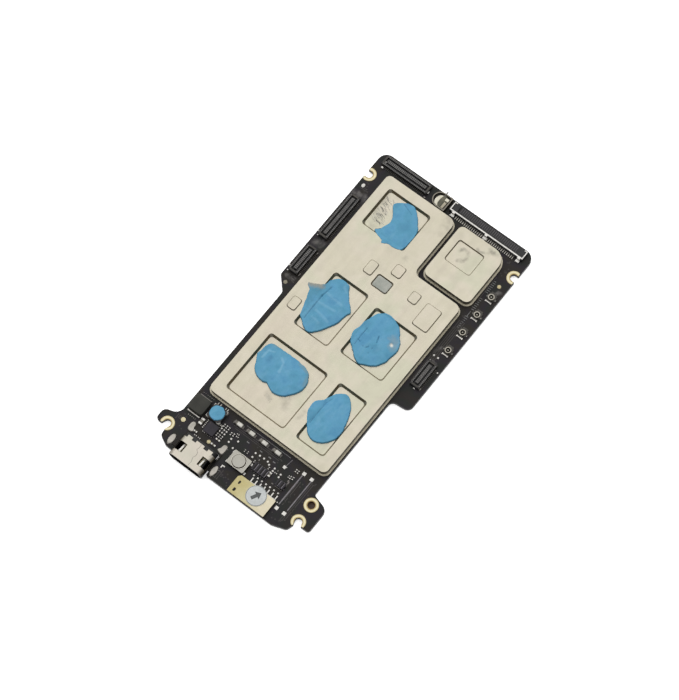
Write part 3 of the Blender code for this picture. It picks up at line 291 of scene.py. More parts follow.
def make_finishes():
    """Every finish by name."""
    nickel = ((167, 160, 146), (165, 160, 144), (168, 162, 148), (163, 161, 144))
    lid_smears = (
        (1.4, 35.0, 3.0, 33.4, 1.5), (-0.2, 21.9, -0.2, 21.9, 0.8), (-1.6, -18.2, 0.4, -20.4, 1.3),
        (-4.8, -20.2, -3.2, -21.2, 0.8), (4.2, -20.6, 4.4, -19.0, 0.7), (-11.4, 24.4, -10.6, 23.8, 0.9),
        (2.5, 31.2, 2.5, 31.2, 0.9), (-12.4, 30.8, -11.6, 26.0, 1.2),
    )
    small_smears = (
        (8.1, 30.6, 8.5, 31.6, 0.5), (8.5, 31.6, 9.7, 31.5, 0.45), (9.7, 31.5, 10.4, 30.3, 0.55),
        (10.4, 30.3, 9.9, 29.2, 0.5), (9.9, 29.2, 8.8, 28.6, 0.6), (10.9, 33.3, 11.2, 33.1, 0.4),
        (13.2, 34.7, 14.9, 34.5, 0.7), (11.4, 32.9, 13.4, 33.9, 0.4),
    )
    flux = (
        (-19.0, 28.3, -16.8, 28.8, 0.9), (-18.6, 13.7, -17.4, 14.2, 1.0), (20.0, 27.9, 20.5, 28.6, 0.6),
        (18.5, 7.4, 19.6, 7.2, 0.3), (-16.4, 27.3, -16.3, 28.4, 0.5), (17.4, 9.4, 18.1, 11.0, 0.5),
        (-18.9, 3.9, -17.0, 4.0, 0.6),
    )
    board = ((31, 28, 26), (36, 32, 27), (32, 28, 34), (27, 30, 27), (33, 29, 27))
    # Name, tints, smears, their tint and strength, the heights between which shade fades in, and its tint.
    sheets = (
        ("lid", nickel, lid_smears, (136, 132, 120)),
        ("small_lid", nickel, small_smears, (122, 119, 109), 0.8),
        # The port and the antenna sockets get painted shade on their lower parts.
        ("port", ((160, 159, 146), (166, 160, 150), (165, 160, 148)), (), (144, 137, 128), 0.6, (2.3, 2.9)),
        ("steel", ((160, 157, 148), (168, 166, 158)), (), (140, 138, 130)),
        ("switch", ((134, 132, 125), (142, 140, 133)), (), (122, 120, 112)),
        ("dim_steel", ((96, 92, 84), (112, 108, 99)), (), (84, 81, 75)),
        ("coax", ((136, 132, 122), (148, 144, 134)), (), (112, 108, 100), 0.6, (1.3, 1.6), (60, 58, 55)),
    )
    # Name, tints, broad and fine scales, roughness, metallic, specular level, relief, smears and their tint.
    grained = (
        ("mask", board, 160, 3000, (0.36, 0.5), 0.0, 0.14, 0.2, flux, (104, 101, 99)),
        ("trace", ((45, 41, 38), (50, 45, 44)), 200, 2500, (0.35, 0.5), 0.0, 0.3),
        ("flange", ((180, 172, 150), (194, 186, 164)), 400, 3000, (0.3, 0.45), 0.15),
        ("tin", ((150, 147, 142), (176, 173, 168)), 900, 4000, (0.24, 0.42), 0.8, 0.5, 0.3),
        ("bright_tin", ((184, 182, 177), (202, 200, 195)), 900, 4000, (0.3, 0.42), 0.35, 0.5, 0.2),
        ("dull_tin", ((84, 81, 78), (112, 108, 104)), 900, 4000, (0.35, 0.5), 0.6),
        ("lead_tin", ((44, 42, 38), (62, 58, 52)), 900, 4000, (0.35, 0.5), 0.5),
        ("line_tin", ((92, 88, 92), (112, 108, 112)), 900, 4000, (0.35, 0.5), 0.3),
        ("solder", ((136, 133, 126), (156, 152, 145)), 700, 3500, (0.3, 0.44), 0.75, 0.5, 0.4),
        ("cap_tin", ((168, 166, 159), (184, 182, 175)), 900, 4000, (0.3, 0.42), 0.35, 0.5, 0.2),
        ("gold", ((160, 150, 116), (178, 170, 140)), 500, 3500, (0.26, 0.4), 0.7),
        ("dull_gold", ((112, 107, 92), (130, 124, 108)), 500, 3500, (0.3, 0.45), 0.6),
        ("black", ((26, 26, 27), (34, 33, 34)), 600, 3500, (0.42, 0.6), 0.0, 0.3),
        ("ridge", ((86, 84, 83), (108, 106, 103)), 900, 3500, (0.38, 0.55), 0.0, 0.4),
        ("rib", ((54, 51, 54), (70, 66, 70)), 900, 3500, (0.38, 0.55), 0.0, 0.4),
        ("epoxy", ((30, 28, 34), (37, 33, 42)), 500, 3500, (0.45, 0.6), 0.0, 0.25),
        ("ferrite", ((46, 46, 42), (56, 56, 51)), 500, 3000, (0.55, 0.7), 0.0, 0.2),
        ("coil", ((34, 34, 36), (48, 47, 47)), 500, 3000, (0.45, 0.6), 0.0, 0.3),
        ("ceramic", ((196, 191, 172), (208, 203, 186)), 500, 3000, (0.4, 0.55)),
        ("beige", ((146, 138, 118), (160, 152, 132)), 700, 3000, (0.4, 0.55)),
        ("passive", ((92, 88, 78), (110, 106, 95)), 900, 3500, (0.4, 0.55)),
        ("resistor", ((30, 29, 31), (44, 41, 44)), 900, 3500, (0.35, 0.5)),
        ("olive", ((58, 56, 38), (84, 80, 60)), 900, 3500, (0.4, 0.55)),
        ("paper", ((174, 178, 178), (186, 190, 189)), 300, 2500, (0.5, 0.65)),
        ("ink", ((58, 62, 61), (70, 74, 73)), 600, 3500, (0.5, 0.65)),
        ("print", ((92, 92, 92), (120, 120, 120)), 900, 3500, (0.5, 0.65)),
        ("filler", ((128, 134, 127), (150, 152, 144), (178, 177, 168)), 240, 2500, (0.5, 0.7), 0.0, 0.5, 0.4),
        ("residue", ((120, 117, 107), (176, 173, 162)), 900, 3500, (0.5, 0.7)),
        ("white", ((200, 198, 193), (216, 214, 209)), 900, 3000, (0.45, 0.6)),
        ("dark", ((18, 16, 14), (26, 23, 19)), 700, 3000, (0.5, 0.7), 0.0, 0.2),
        ("brown", ((52, 34, 18), (74, 50, 28)), 700, 3000, (0.4, 0.6), 0.0, 0.3),
    )
    finishes = {row[0]: sheet_metal(*row) for row in sheets}
    finishes.update({row[0]: speckled(*row) for row in grained})
    finishes["gold_cover"] = gold_cover_finish()
    for name, (x, y) in RING_CENTRES.items():
        finishes[name] = gold_ring_finish(name, x, y)
    return finishes


FINISHES = make_finishes()


# ---------------------------------------------------------------- shapes


def box(node):
    """The two extreme corners of a CAD node, in millimetres."""
    return [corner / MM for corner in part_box(node)]


def on(top, rise):
    """The heights of what stands on a surface and is sunk a little into it."""
    return top - SUNK, top + rise


def block(bm, low, high, kind=0):
    """A box between two corners."""
    corners = [bm.verts.new((x, y, z)) for x, y, z in product(*zip(low, high))]
    for sides in ((0, 1, 3, 2), (4, 6, 7, 5), (0, 4, 5, 1), (2, 3, 7, 6), (0, 2, 6, 4), (1, 5, 7, 3)):
        bm.faces.new([corners[i] for i in sides]).material_index = kind


def slab(bm, x, y, width, length, height, kind=0):
    """A box standing on the board about the point (x, y)."""
    bottom, top = on(BOARD_TOP, height)
    block(bm, (x - width / 2, y - length / 2, bottom), (x + width / 2, y + length / 2, top), kind)


def slabs(bm, rows, *size):
    """A slab for each row of place and size. What they all share comes after the rows."""
    for row in rows:
        slab(bm, *row, *size)


def skin(bm, rings, kind=0):
    """A closed solid through a stack of rings, each anticlockwise from above, the lowest first."""
    layers = [[bm.verts.new(point) for point in ring] for ring in rings]
    count = len(layers[0])
    faces = [bm.faces.new(layers[0][::-1]), bm.faces.new(layers[-1])]
    for lower, upper in zip(layers, layers[1:]):
        for i in range(count):
            j = (i + 1) % count
            faces.append(bm.faces.new((lower[i], lower[j], upper[j], upper[i])))
    for face in faces:
        face.material_index = kind


def oval(x, y, rx, ry, z, sides=16):
    """Points of an ellipse, anticlockwise."""
    angles = [2 * math.pi * i / sides for i in range(sides)]
    return [(x + rx * math.cos(angle), y + ry * math.sin(angle), z) for angle in angles]


DOME = ((1.0, 0.0), (0.96, 0.35), (0.8, 0.7), (0.52, 0.93), (0.2, 1.0))
MOUND = ((1.0, 0.0), (0.98, 0.5), (0.9, 0.88), (0.7, 1.0), (0.4, 0.96), (0.15, 0.94))


def dome(bm, x, y, radius, height, kind=0, stretch=1.0, base=None, sides=16):
    """A rounded bead of solder."""
    floor = BOARD_TOP if base is None else base
    rings = [oval(x, y, radius, radius * stretch, floor - SUNK, sides)]
    for share, rise in DOME:
        rings.append(oval(x, y, radius * share, radius * stretch * share, floor + height * rise, sides))
    skin(bm, rings, kind)


def disc(bm, x, y, radius, low, high, sides=24):
    """A flat round plate."""
    skin(bm, [oval(x, y, radius, radius, z, sides) for z in (low, high)])


def hoop(bm, x, y, inner, outer, low, high, kind=0, sides=32):
    """A flat ring."""
    rings = []
    for radius, z in ((inner, low), (outer, low), (outer, high), (inner, high)):
        rings.append([bm.verts.new(point) for point in oval(x, y, radius, radius, z, sides)])
    for near, far in zip(rings, rings[1:] + rings[:1]):
        for i in range(sides):
            j = (i + 1) % sides
            bm.faces.new((near[i], near[j], far[j], far[i])).material_index = kind


def prism(bm, outline, low, high):
    """A plate with the given anticlockwise outline."""
    skin(bm, [[(x, y, z) for x, y in outline] for z in (low, high)])


def stroke(bm, start, end, width, low, high):
    """A thin straight bar between two points."""
    a, b = Vector(start), Vector(end)
    along = (b - a).normalized() * width / 2
    side = Vector((-along.y, along.x))
    prism(bm, [tuple(p) for p in (a - side, b - side, b + side, a + side)], low, high)


def mound(bm, outline, height):
    """A rounded lump of solder over an outline."""
    middle = sum((Vector(p) for p in outline), Vector((0, 0))) / len(outline)
    rings = [[(x, y, BOARD_TOP - SUNK) for x, y in outline]]
    for share, rise in MOUND:
        ring = [middle + (Vector(p) - middle) * share for p in outline]
        rings.append([(p.x, p.y, BOARD_TOP + height * rise) for p in ring])
    skin(bm, rings)


def curved(points, steps=4):
    """A closed smooth curve through the points."""
    loop, count = [], len(points)
    for i in range(count):
        a, b, c, d = (Vector(points[(i + k) % count]) for k in (-1, 0, 1, 2))
        for s in range(steps):
            t = s / steps
            bend, twist = a * 2 - b * 5 + c * 4 - d, b * 3 - a - c * 3 + d
            loop.append(tuple((b * 2 + (c - a) * t + bend * t * t + twist * t ** 3) / 2))
    return loop


def shade_smooth(mesh):
    mesh.polygons.foreach_set("use_smooth", [True] * len(mesh.polygons))


def piece(name, bm, finishes, body="board", bevel=0.0, turn=35):
    """Turns a bmesh in millimetres into a finished piece that rides on a body."""
    mesh = bpy.data.meshes.new(name)
    bmesh.ops.recalc_face_normals(bm, faces=bm.faces)
    bm.to_mesh(mesh)
    bm.free()
    mesh.transform(Matrix.Scale(MM, 4))
    thing = bpy.data.objects.new(name, mesh)
    bpy.context.scene.collection.objects.link(thing)
    for finish in [finishes] if isinstance(finishes, str) else finishes:
        mesh.materials.append(FINISHES[finish])
    shade_smooth(mesh)
    mesh.set_sharp_from_angle(angle=math.radians(turn))
    if bevel:
        add_bevel(thing, bevel, turn)
    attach(thing, body)
    return thing


def add_bevel(thing, width, turn=32, segments=2):
    """Rounds a piece's sharp edges and keeps its flats flat."""
    rounding = thing.modifiers.new("rounding", "BEVEL")
    rounding.width = width * MM
    rounding.segments = segments
    rounding.limit_method = "ANGLE"
    rounding.angle_limit = math.radians(turn)
    rounding.use_clamp_overlap = True
    shading = thing.modifiers.new("shading", "WEIGHTED_NORMAL")
    shading.keep_sharp = False


def dress(node, finish, bevel):
    """Gives a CAD node its finish and rounds its edges."""
    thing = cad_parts[node]
    thing.data.materials.clear()
    thing.data.materials.append(FINISHES[finish])
    shade_smooth(thing.data)
    weld = thing.modifiers.new("weld", "WELD")
    weld.merge_threshold = WELD
    flats = thing.modifiers.new("flats", "DECIMATE")
    flats.decimate_type = "DISSOLVE"
    flats.angle_limit = math.radians(1)
    add_bevel(thing, bevel, segments=3)


# ---------------------------------------------------------------- CAD nodes


def dress_nodes():
    """The finish and edge rounding of every CAD node that stays."""
    looks = (
        ("mask", 0.05, "circuit_board"),
        ("lid", 0.15, "main_shield_lid"),
        ("small_lid", 0.15, "small_shield_lid"),
        ("flange", 0.05, "main_shield_frame", "small_shield_frame"),
        ("port", 0.06, "port_shell"),
        ("gold", 0.02, "port_contacts"),
        ("black", 0.04, "port_insulator", "edge_socket_body", "cable_socket_housing"),
        ("black", 0.05, "switch_base", *(name + "_stacking_connector" for name in STACKING)),
        ("lead_tin", 0.02, *(name + "_stacking_leads" for name in STACKING)),
        ("steel", 0.02, "switch_dome"),
        ("switch", 0.12, "switch_button"),
        ("switch", 0.08, "switch_cover"),
        ("gold_cover", 0.06, "edge_socket_cover"),
        ("white", 0.03, "edge_socket_leads"),
        ("paper", 0.02, "round_sticker"),
        ("bright_tin", 0.03, "cable_socket_bracket"),
        ("solder", 0.02, "cable_socket_leads"),
        ("dim_steel", 0.05, "pressure_sensor_ring"),
        ("dark", 0.05, "pressure_sensor_core"),
        ("ferrite", 0.12, "power_inductor"),
        ("coil", 0.1, "coil_inductor"),
        ("filler", 0.1, "grey_filler_pad"),
        ("epoxy", 0.04, "charger_chip", "driver_chip", "sensor_chip"),
        ("epoxy", 0.05, *(name + "_chip" for name in SHIELDED_CHIPS)),
        ("coax", 0.03, *(f"coax_socket_{number}" for number in range(1, 5))),
        *((name, 0.02, name) for name in RING_CENTRES),
    )
    for finish, bevel, *nodes in looks:
        for node in nodes:
            dress(node, finish, bevel)


# ---------------------------------------------------------------- putty

RING_EDGE = (0.0, 0.02, 0.05, 0.1, 0.18, 0.3, 0.48, 0.72, 1.0)
RING_STEPS, UNDERSIDE_STEP = 34, 6
OUTLINE_SPACING = 0.2
EDGE_HEIGHT, EDGE_ROUNDING, SHOULDER = 0.58, 0.2, 2.2
THINNEST, PRESSED_IN = 0.12, 0.015
FOOT_SHARE, RAY_START = 0.75, 0.01
UNEVENNESS = ((0.22, 0, 0.1), (0.9, 7, 0.05), (2.6, 13, 0.02))  # scale, shift of the seed, height


def top_outline(node):
    """The outline of a CAD node's top face, evenly spaced, in millimetres."""
    bm = bmesh.new()
    bm.from_mesh(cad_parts[node].data)
    bmesh.ops.remove_doubles(bm, verts=bm.verts, dist=WELD)
    top = max(v.co.z for v in bm.verts)
    caps = {f for f in bm.faces if f.normal.z > 0.9 and f.calc_center_median().z > top - 0.0001}
    follows = {}
    for edge in bm.edges:
        shared = [f for f in edge.link_faces if f in caps]
        if len(shared) == 1:
            loop = next(l for l in shared[0].loops if l.edge == edge)
            follows[loop.vert] = loop.link_loop_next.vert
    start = min(follows, key=lambda v: (v.co.x, v.co.y))
    chain, vert = [start], follows[start]
    while vert != start:
        chain.append(vert)
        vert = follows[vert]
    points = [Vector((v.co.x / MM, v.co.y / MM)) for v in chain]
    bm.free()
    return spaced(points, OUTLINE_SPACING)


def spaced(points, spacing):
    """A closed line's points again, at an even spacing."""
    lengths = [(points[(i + 1) % len(points)] - p).length for i, p in enumerate(points)]
    count = max(24, round(sum(lengths) / spacing))
    step, made, walked, i = sum(lengths) / count, [], 0.0, 0
    for k in range(count):
        target = k * step
        while walked + lengths[i] < target:
            walked += lengths[i]
            i += 1
        share = (target - walked) / lengths[i]
        made.append(points[i].lerp(points[(i + 1) % len(points)], share))
    return made


def distance_to(point, a, b):
    """How far a point is from a line between two points."""
    along = b - a
    share = 0.0
    if along.length_squared:
        share = max(0.0, min(1.0, (point - a).dot(along) / along.length_squared))
    return (a + along * share - point).length


def relief(point, seed, features):
    """The unevenness of putty pressed flat by hand, and its creases (x0, y0, x1, y1, width, height)."""
    total = 0.0
    for scale, shift, height in UNEVENNESS:
        total += height * noise.noise(Vector((point.x * scale, point.y * scale, seed + shift)))
    for x0, y0, x1, y1, width, height in features:
        away = distance_to(point, Vector((x0, y0)), Vector((x1, y1)))
        total += height * math.exp(-((away / width) ** 2))
    return total


def ragged(points, seed, wave, shrink):
    """The outline with a hand-torn edge, never outside the first one."""
    middle = sum(points, Vector((0, 0))) / len(points)
    made = []
    for point in points:
        broad = noise.noise(Vector((point.x * 0.9, point.y * 0.9, seed + 3)))
        fine = noise.noise(Vector((point.x * 3.1, point.y * 3.1, seed + 5)))
        push = min(0.0, broad * wave + fine * wave * 0.6 - wave * 0.5)
        made.append(point + (point - middle).normalized() * (push - shrink))
    return made


def putty(node, rise, seed, features=(), layers=(), wave=0.12, shrink=0.0):
    """A pressed lump of putty inside its CAD solid's outline, closed underneath along what it lies on."""
    on_coil = node.startswith("inductor")
    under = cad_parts["coil_inductor" if on_coil else "main_shield_lid"].data
    tree = BVHTree.FromPolygons([v.co for v in under.vertices], [tuple(p.vertices) for p in under.polygons])
    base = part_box("coil_inductor")[1].z / MM if on_coil else LID_TOP
    rim = ragged(top_outline(node), seed, wave, shrink)
    middle = sum(rim, Vector((0, 0))) / len(rim)
    edge = KDTree(len(rim))
    for i, point in enumerate(rim):
        edge.insert(point.to_3d(), i)
    edge.balance()

    def ground(point):
        hit = tree.ray_cast(Vector((point.x * MM, point.y * MM, RAY_START)), Vector((0, 0, -1)))[0]
        return base if hit is None else hit.z / MM

    def height(point, on_rim=False):
        low = ground(point)
        full = max(THINNEST, base + rise + relief(point, seed, features) - low)
        inset = 0.0 if on_rim else edge.find(point.to_3d())[2]
        foot = min(EDGE_HEIGHT, full * FOOT_SHARE)
        rounded = foot * math.sqrt(1 - (1 - min(1.0, inset / EDGE_ROUNDING)) ** 2)
        share = min(1.0, inset / SHOULDER)
        return low + rounded + (full - foot) * share * share * (3 - 2 * share)

    loops = [[p + (middle - p).normalized() * inset for p in rim] for inset in RING_EDGE]
    for k in range(1, RING_STEPS):
        loops.append([p.lerp(middle, k / RING_STEPS) for p in loops[len(RING_EDGE) - 1]])
    bm = bmesh.new()
    upper = [[bm.verts.new((p.x, p.y, height(p, k == 0))) for p in loop] for k, loop in enumerate(loops)]
    lower = []
    for loop in loops[::UNDERSIDE_STEP]:
        lower.append([bm.verts.new((p.x, p.y, ground(p) - PRESSED_IN)) for p in loop])
    crown = bm.verts.new((middle.x, middle.y, height(middle)))
    root = bm.verts.new((middle.x, middle.y, ground(middle) - PRESSED_IN))
    stack = lower[::-1] + upper
    count = len(rim)
    for i in range(count):
        j = (i + 1) % count
        for near, far in zip(stack, stack[1:]):
            bm.faces.new((near[i], near[j], far[j], far[i]))
        bm.faces.new((upper[-1][i], upper[-1][j], crown))
        bm.faces.new((lower[-1][j], lower[-1][i], root))
    FINISHES[node] = putty_finish(node, layers)
    made = piece(node + "_lump", bm, node, "board" if on_coil else "main_lid", turn=180)
    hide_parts(node)


def sized(rows, *sizes):
    """The rows (x0, y0, x1, y1) with the same widths and heights added to each."""
    return tuple(row + sizes for row in rows)


def make_putty():
    """The five pads on the main lid and the disc on the coil."""
    # On each pad the rows pressed in as dents also get deep blue painted shade along them.
    folds = ((-6.8, 31.5, -5.4, 31.0), (-8.6, 32.2, -6.8, 31.5))
    layers = ((sized(folds, 0.12), CREASE_SHADE_BLUE, 0.5),)
    putty("thermal_putty_top", 0.1, 1.0, sized(folds, 0.14, -0.09), layers)

    deep = ((-9.1, 4.2, -9.1, -2.2), (-9.1, 4.2, -8.7, 7.0))
    pale = (
        (-8.6, 5.3, -4.4, 4.9), (-6.5, 8.8, -5.5, 8.0), (-8.8, 2.6, -4.9, 2.9), (-8.0, 0.8, -4.6, 0.2),
        (-7.9, -0.9, -6.0, -1.2),
    )
    layers = (
        (((-11.6, 1.5, -10.6, 7.5, 1.9),), (66, 122, 144), 0.55), (sized(pale, 0.45), PALE_BLUE, 0.3),
        (sized(deep, 0.14), CREASE_SHADE_BLUE, 0.6), (((-13.3, 4.6, -10.9, 6.1, 1.15),), (134, 133, 124), 0.92),
    )
    putty("thermal_putty_middle_left", 0.1, 2.0, sized(deep, 0.16, -0.16) + sized(pale, 0.3, 0.04), layers)

    deep = ((3.2, 4.2, 3.2, -0.2), (3.2, 1.0, 3.9, 0.9), (6.4, 4.2, 6.9, 2.8))
    spots = ((6.9, 1.2, 6.9, 1.2), (5.7, 0.5, 6.0, 1.0), (6.9, -0.2, 6.9, -0.2), (5.0, 0.4, 5.0, 0.4))
    hole = ((9.7, 4.4, 9.7, 4.4),)
    layers = (
        (sized(deep, 0.12), CREASE_SHADE_BLUE, 0.75), (sized(spots, 0.18), CREASE_SHADE_BLUE, 0.5),
        (((10.2, 4.4, 9.6, 5.4, 1.5),), (116, 142, 154), 0.7),
        (((9.7, 4.4, 9.75, 4.3, 0.42),), (200, 198, 190), 1.0),
    )
    dents = sized(deep, 0.13, -0.16) + sized(spots, 0.16, -0.12) + sized(hole, 0.4, -0.3)
    putty("thermal_putty_middle_right", 0.1, 3.0, dents, layers)

    pale = (
        (-7.0, -12.4, -6.0, -13.0), (-6.0, -13.0, -5.6, -15.2), (-10.2, -12.6, -9.2, -12.2),
        (-10.4, -12.8, -10.6, -14.6),
    )
    crumbs = ((-11.4, -11.0, -8.0, -10.4), (-3.2, -10.9, -0.4, -11.6), (-0.2, -12.0, 0.5, -14.5))
    layers = (
        (((-9.0, -13.7, -9.0, -14.4, 0.8),), (60, 116, 150), 0.6), (sized(pale, 0.34), PALE_BLUE, 0.45),
        (sized(crumbs, 0.5), (104, 128, 132), 0.5),
    )
    putty("thermal_putty_bottom_left", 0.1, 4.0, sized(pale, 0.3, 0.04), layers)

    deep = ((6.7, -14.5, 6.7, -20.0), (6.7, -14.5, 7.2, -13.0))
    layers = ((sized(deep, 0.14), CREASE_SHADE_BLUE, 0.5), (((11.6, -11.0, 12.6, -12.0, 0.6),), (128, 140, 160), 0.5))
    putty("thermal_putty_bottom_right", 0.1, 5.0, sized(deep, 0.18, -0.13), layers)
    putty("inductor_putty", 0.3, 6.0, wave=0.14, shrink=0.08)


# ---------------------------------------------------------------- the board's surface


TRACK_RISE, PRINT_RISE = 0.02, 0.015


def make_traces():
    """Copper tracks under the solder mask, as faint raised lines in bundles."""
    draw = random.Random(11)
    bm = bmesh.new()
    bundles = (
        ((17.4, 1.5), (17.4, 19.0), 4, 0.42), ((-6.2, -30.3), (7.2, -30.3), 3, 0.4),
        ((13.0, -30.5), (13.0, -37.5), 3, 0.4), ((-1.6, -39.0), (-1.6, -41.6), 5, 0.5),
        ((-16.3, -34.6), (-16.3, -36.6), 3, 0.4), ((15.5, -29.0), (15.5, -41.0), 3, 0.42),
        ((17.3, 24.0), (17.3, 31.5), 2, 0.4), ((-19.6, 30.0), (-16.4, 30.0), 2, 0.4),
        ((-18.8, 3.4), (-16.2, 3.4), 3, 0.4),
    )
    for start, end, count, pitch in bundles:
        along = (Vector(end) - Vector(start)).normalized()
        side = Vector((along.y, -along.x)) if along.x == 0 else Vector((-along.y, along.x))
        for k in range(count):
            shift = side * pitch * k
            trim = along * draw.uniform(0.1, 1.2)
            ends = Vector(start) + shift + trim, Vector(end) + shift - along * draw.uniform(0.1, 1.2)
            stroke(bm, *ends, 0.16, *on(BOARD_TOP, TRACK_RISE))
            for point in ends:
                dome(bm, point.x, point.y, 0.16, 0.03, sides=10)
    piece("board_traces", bm, "trace")


def make_vias():
    """Small plated holes, filled with mask, spread over the free areas."""
    draw = random.Random(23)
    bm = bmesh.new()
    areas = (
        (-7.0, -30.9, 8.0, -29.9, 10), (1.2, -35.2, 3.2, -31.0, 6), (12.9, -37.5, 14.2, -30.0, 8),
        (15.3, -41.0, 16.2, -29.0, 8), (17.2, 0.0, 18.0, 20.0, 16), (-19.3, 3.0, -16.4, 4.4, 5),
        (-2.2, -41.6, 1.2, -38.8, 10), (-16.4, -37.4, -13.9, -33.9, 6), (17.4, 30.5, 19.0, 36.0, 10),
        (-19.2, 29.5, -16.2, 32.2, 8), (12.2, -41.8, 15.0, -39.6, 6),
    )
    for left, bottom, right, top, count in areas:
        for _ in range(count):
            x, y = draw.uniform(left, right), draw.uniform(bottom, top)
            hoop(bm, x, y, 0.07, 0.16, *on(BOARD_TOP, TRACK_RISE), sides=12)
    piece("board_vias", bm, "trace")


def make_lines():
    """The two long bare conductors with their square pads, and the small bare pads."""
    bm = bmesh.new()
    for start, end, width in (
        ((12.35, -37.8), (12.35, -29.8), 0.24), ((14.65, -37.8), (14.65, -29.8), 0.24),
        ((10.95, -35.2), (10.9, -32.4), 0.1), ((8.3, -30.3), (8.6, -28.4), 0.12),
    ):
        stroke(bm, start, end, width, *on(BOARD_TOP, 0.03))
    piece("bare_lines", bm, "line_tin")
    bm = bmesh.new()
    slabs(bm, ((12.46, -29.3), (14.5, -29.35), (12.46, -38.72), (14.5, -38.72)), 0.82, 0.82, 0.07)
    slabs(bm, ((8.25, -30.72, 0.7, 0.72, 0.25), (8.62, -30.5, 0.25, 0.25, 0.12)))
    slabs(bm, ((-2.45, -38.62, 0.28, 0.75), (-2.08, -38.38, 0.52, 0.28)), 0.06)
    piece("bare_pads", bm, "bright_tin", bevel=0.05)


def make_dots():
    """Solder on test points and in through holes."""
    small = (
        (-4.7, -32.7), (-4.7, -33.55), (-3.15, -32.25), (-3.15, -34.1), (1.4, -32.0), (2.5, -31.9),
        (3.6, -31.85), (4.65, -31.9), (5.3, -32.3), (1.4, -33.1), (6.75, -32.2), (6.78, -32.9),
        (8.6, -32.5), (8.62, -33.2), (17.9, 8.6), (19.0, 8.6),
    )
    flat = (
        (20.95, 5.8, 0.2), (11.8, -37.7, 0.16), (-19.75, 16.3, 0.2), (-19.75, 6.2, 0.2), (-19.4, 5.0, 0.2),
    )
    bm = bmesh.new()
    for x, y in small:
        dome(bm, x, y, 0.25, 0.12)
    for i in range(7):
        dome(bm, 4.2 + 1.09 * i, -36.05, 0.23, 0.12)
    for x, y, radius in flat:
        dome(bm, x, y, radius, 0.08)
    dome(bm, -18.65, 30.75, 0.4, 0.1, stretch=1.3)
    piece("solder_dots", bm, "bright_tin")
    bm = bmesh.new()
    gold = ((-18.0, 2.4, 0.45), (19.5, 29.7, 0.42), (-15.55, -35.55, 0.52), (-8.1, -36.1, 0.42))
    for index, (x, y, radius) in enumerate(gold):
        kind = int(index > 0)
        hoop(bm, x, y, radius * 0.35, radius, *on(BOARD_TOP, 0.05), kind, sides=24)
        dome(bm, x, y, radius * 0.9, 0.1, kind, sides=24)
    piece("gold_dots", bm, ["dull_gold", "gold"])


def make_print():
    """Printed marks, kept to plain dashes."""
    draw = random.Random(5)
    bm = bmesh.new()
    heights = on(BOARD_TOP, PRINT_RISE)
    for centre in (28.6, 23.6, 18.4):
        for k in range(7):
            y = centre - 1.6 + k * 0.52
            half = draw.uniform(0.2, 0.42)
            stroke(bm, (18.1 - half, y), (18.1 + half, y + 0.08), 0.13, *heights)
    stroke(bm, (18.05, 20.0), (18.05, 21.4), 0.12, *heights)
    for x, y in ((2.1, -31.0), (4.4, -30.95), (-1.35, -31.1), (5.8, -31.2)):
        stroke(bm, (x - 0.32, y), (x + 0.32, y), 0.2, *heights)
    stroke(bm, (-3.9, -28.3), (8.0, -28.3), 0.1, *heights)
    piece("printed_marks", bm, "print")


# ---------------------------------------------------------------- small components


END_SHARE = 0.3


def chip_part(bm, x, y, width, length, height, upright):
    """A two-ended component: kind 0 is its body, kind 1 its ends, each a share of its length."""
    lean, full = (0.94, 0.9) if upright else (0.9, 0.94)
    slab(bm, x, y, width * lean, length * full, height * 0.92, 0)
    for side in (-1, 1):
        if upright:
            slab(bm, x, y + side * length * (1 - END_SHARE) / 2, width, length * END_SHARE, height, 1)
        else:
            slab(bm, x + side * width * (1 - END_SHARE) / 2, y, width * END_SHARE, length, height, 1)


def make_passives():
    """The crowds of small resistors and capacitors round the power chips."""
    bm = bmesh.new()
    for x in (-7.72, -7.06, -6.4):
        for y, length in ((-31.25, 0.7), (-32.5, 1.05), (-33.77, 0.72)):
            chip_part(bm, x, y, 0.36, length, 0.3, True)
    groups = (
        ((0.34, 0.75, 0.3, True), (
            (-5.4, -31.85), (-4.75, -31.75), (10.7, -29.85), (11.25, -29.85), (10.7, -31.75), (11.25, -31.6),
        )),
        ((0.62, 0.3, 0.25, False), (
            (-4.1, -31.05), (-3.9, -31.6), (-10.3, -35.0), (7.6, -32.9), (-10.2, -36.75), (-11.2, -36.75),
        )),
        ((0.26, 0.62, 0.25, True), (
            (-0.7, -33.0), (0.05, -32.95), (5.75, -32.95), (2.4, -33.6), (10.25, -31.8), (-4.2, -37.8),
        )),
        ((0.3, 0.6, 0.25, True), ((-11.15, -32.6), (-11.15, -33.4), (-11.15, -34.2))),
    )
    for size, places in groups:
        for x, y in places:
            chip_part(bm, x, y, *size)
    piece("small_passives", bm, ["resistor", "tin"], bevel=0.03)
    bm = bmesh.new()
    for row in (
        (-12.1, -33.52, 0.85, 1.5, 0.55, True), (6.77, -33.95, 0.68, 1.1, 0.5, True),
        (-6.75, -34.65, 1.1, 0.36, 0.4, False), (-6.85, -36.1, 1.2, 0.4, 0.4, False),
        (-11.75, -36.05, 0.8, 0.42, 0.35, False), (-8.15, -31.72, 0.6, 0.34, 0.35, False),
    ):
        chip_part(bm, *row)
    piece("ceramic_capacitors", bm, ["passive", "bright_tin"], bevel=0.04)


CLEAR = 0.8


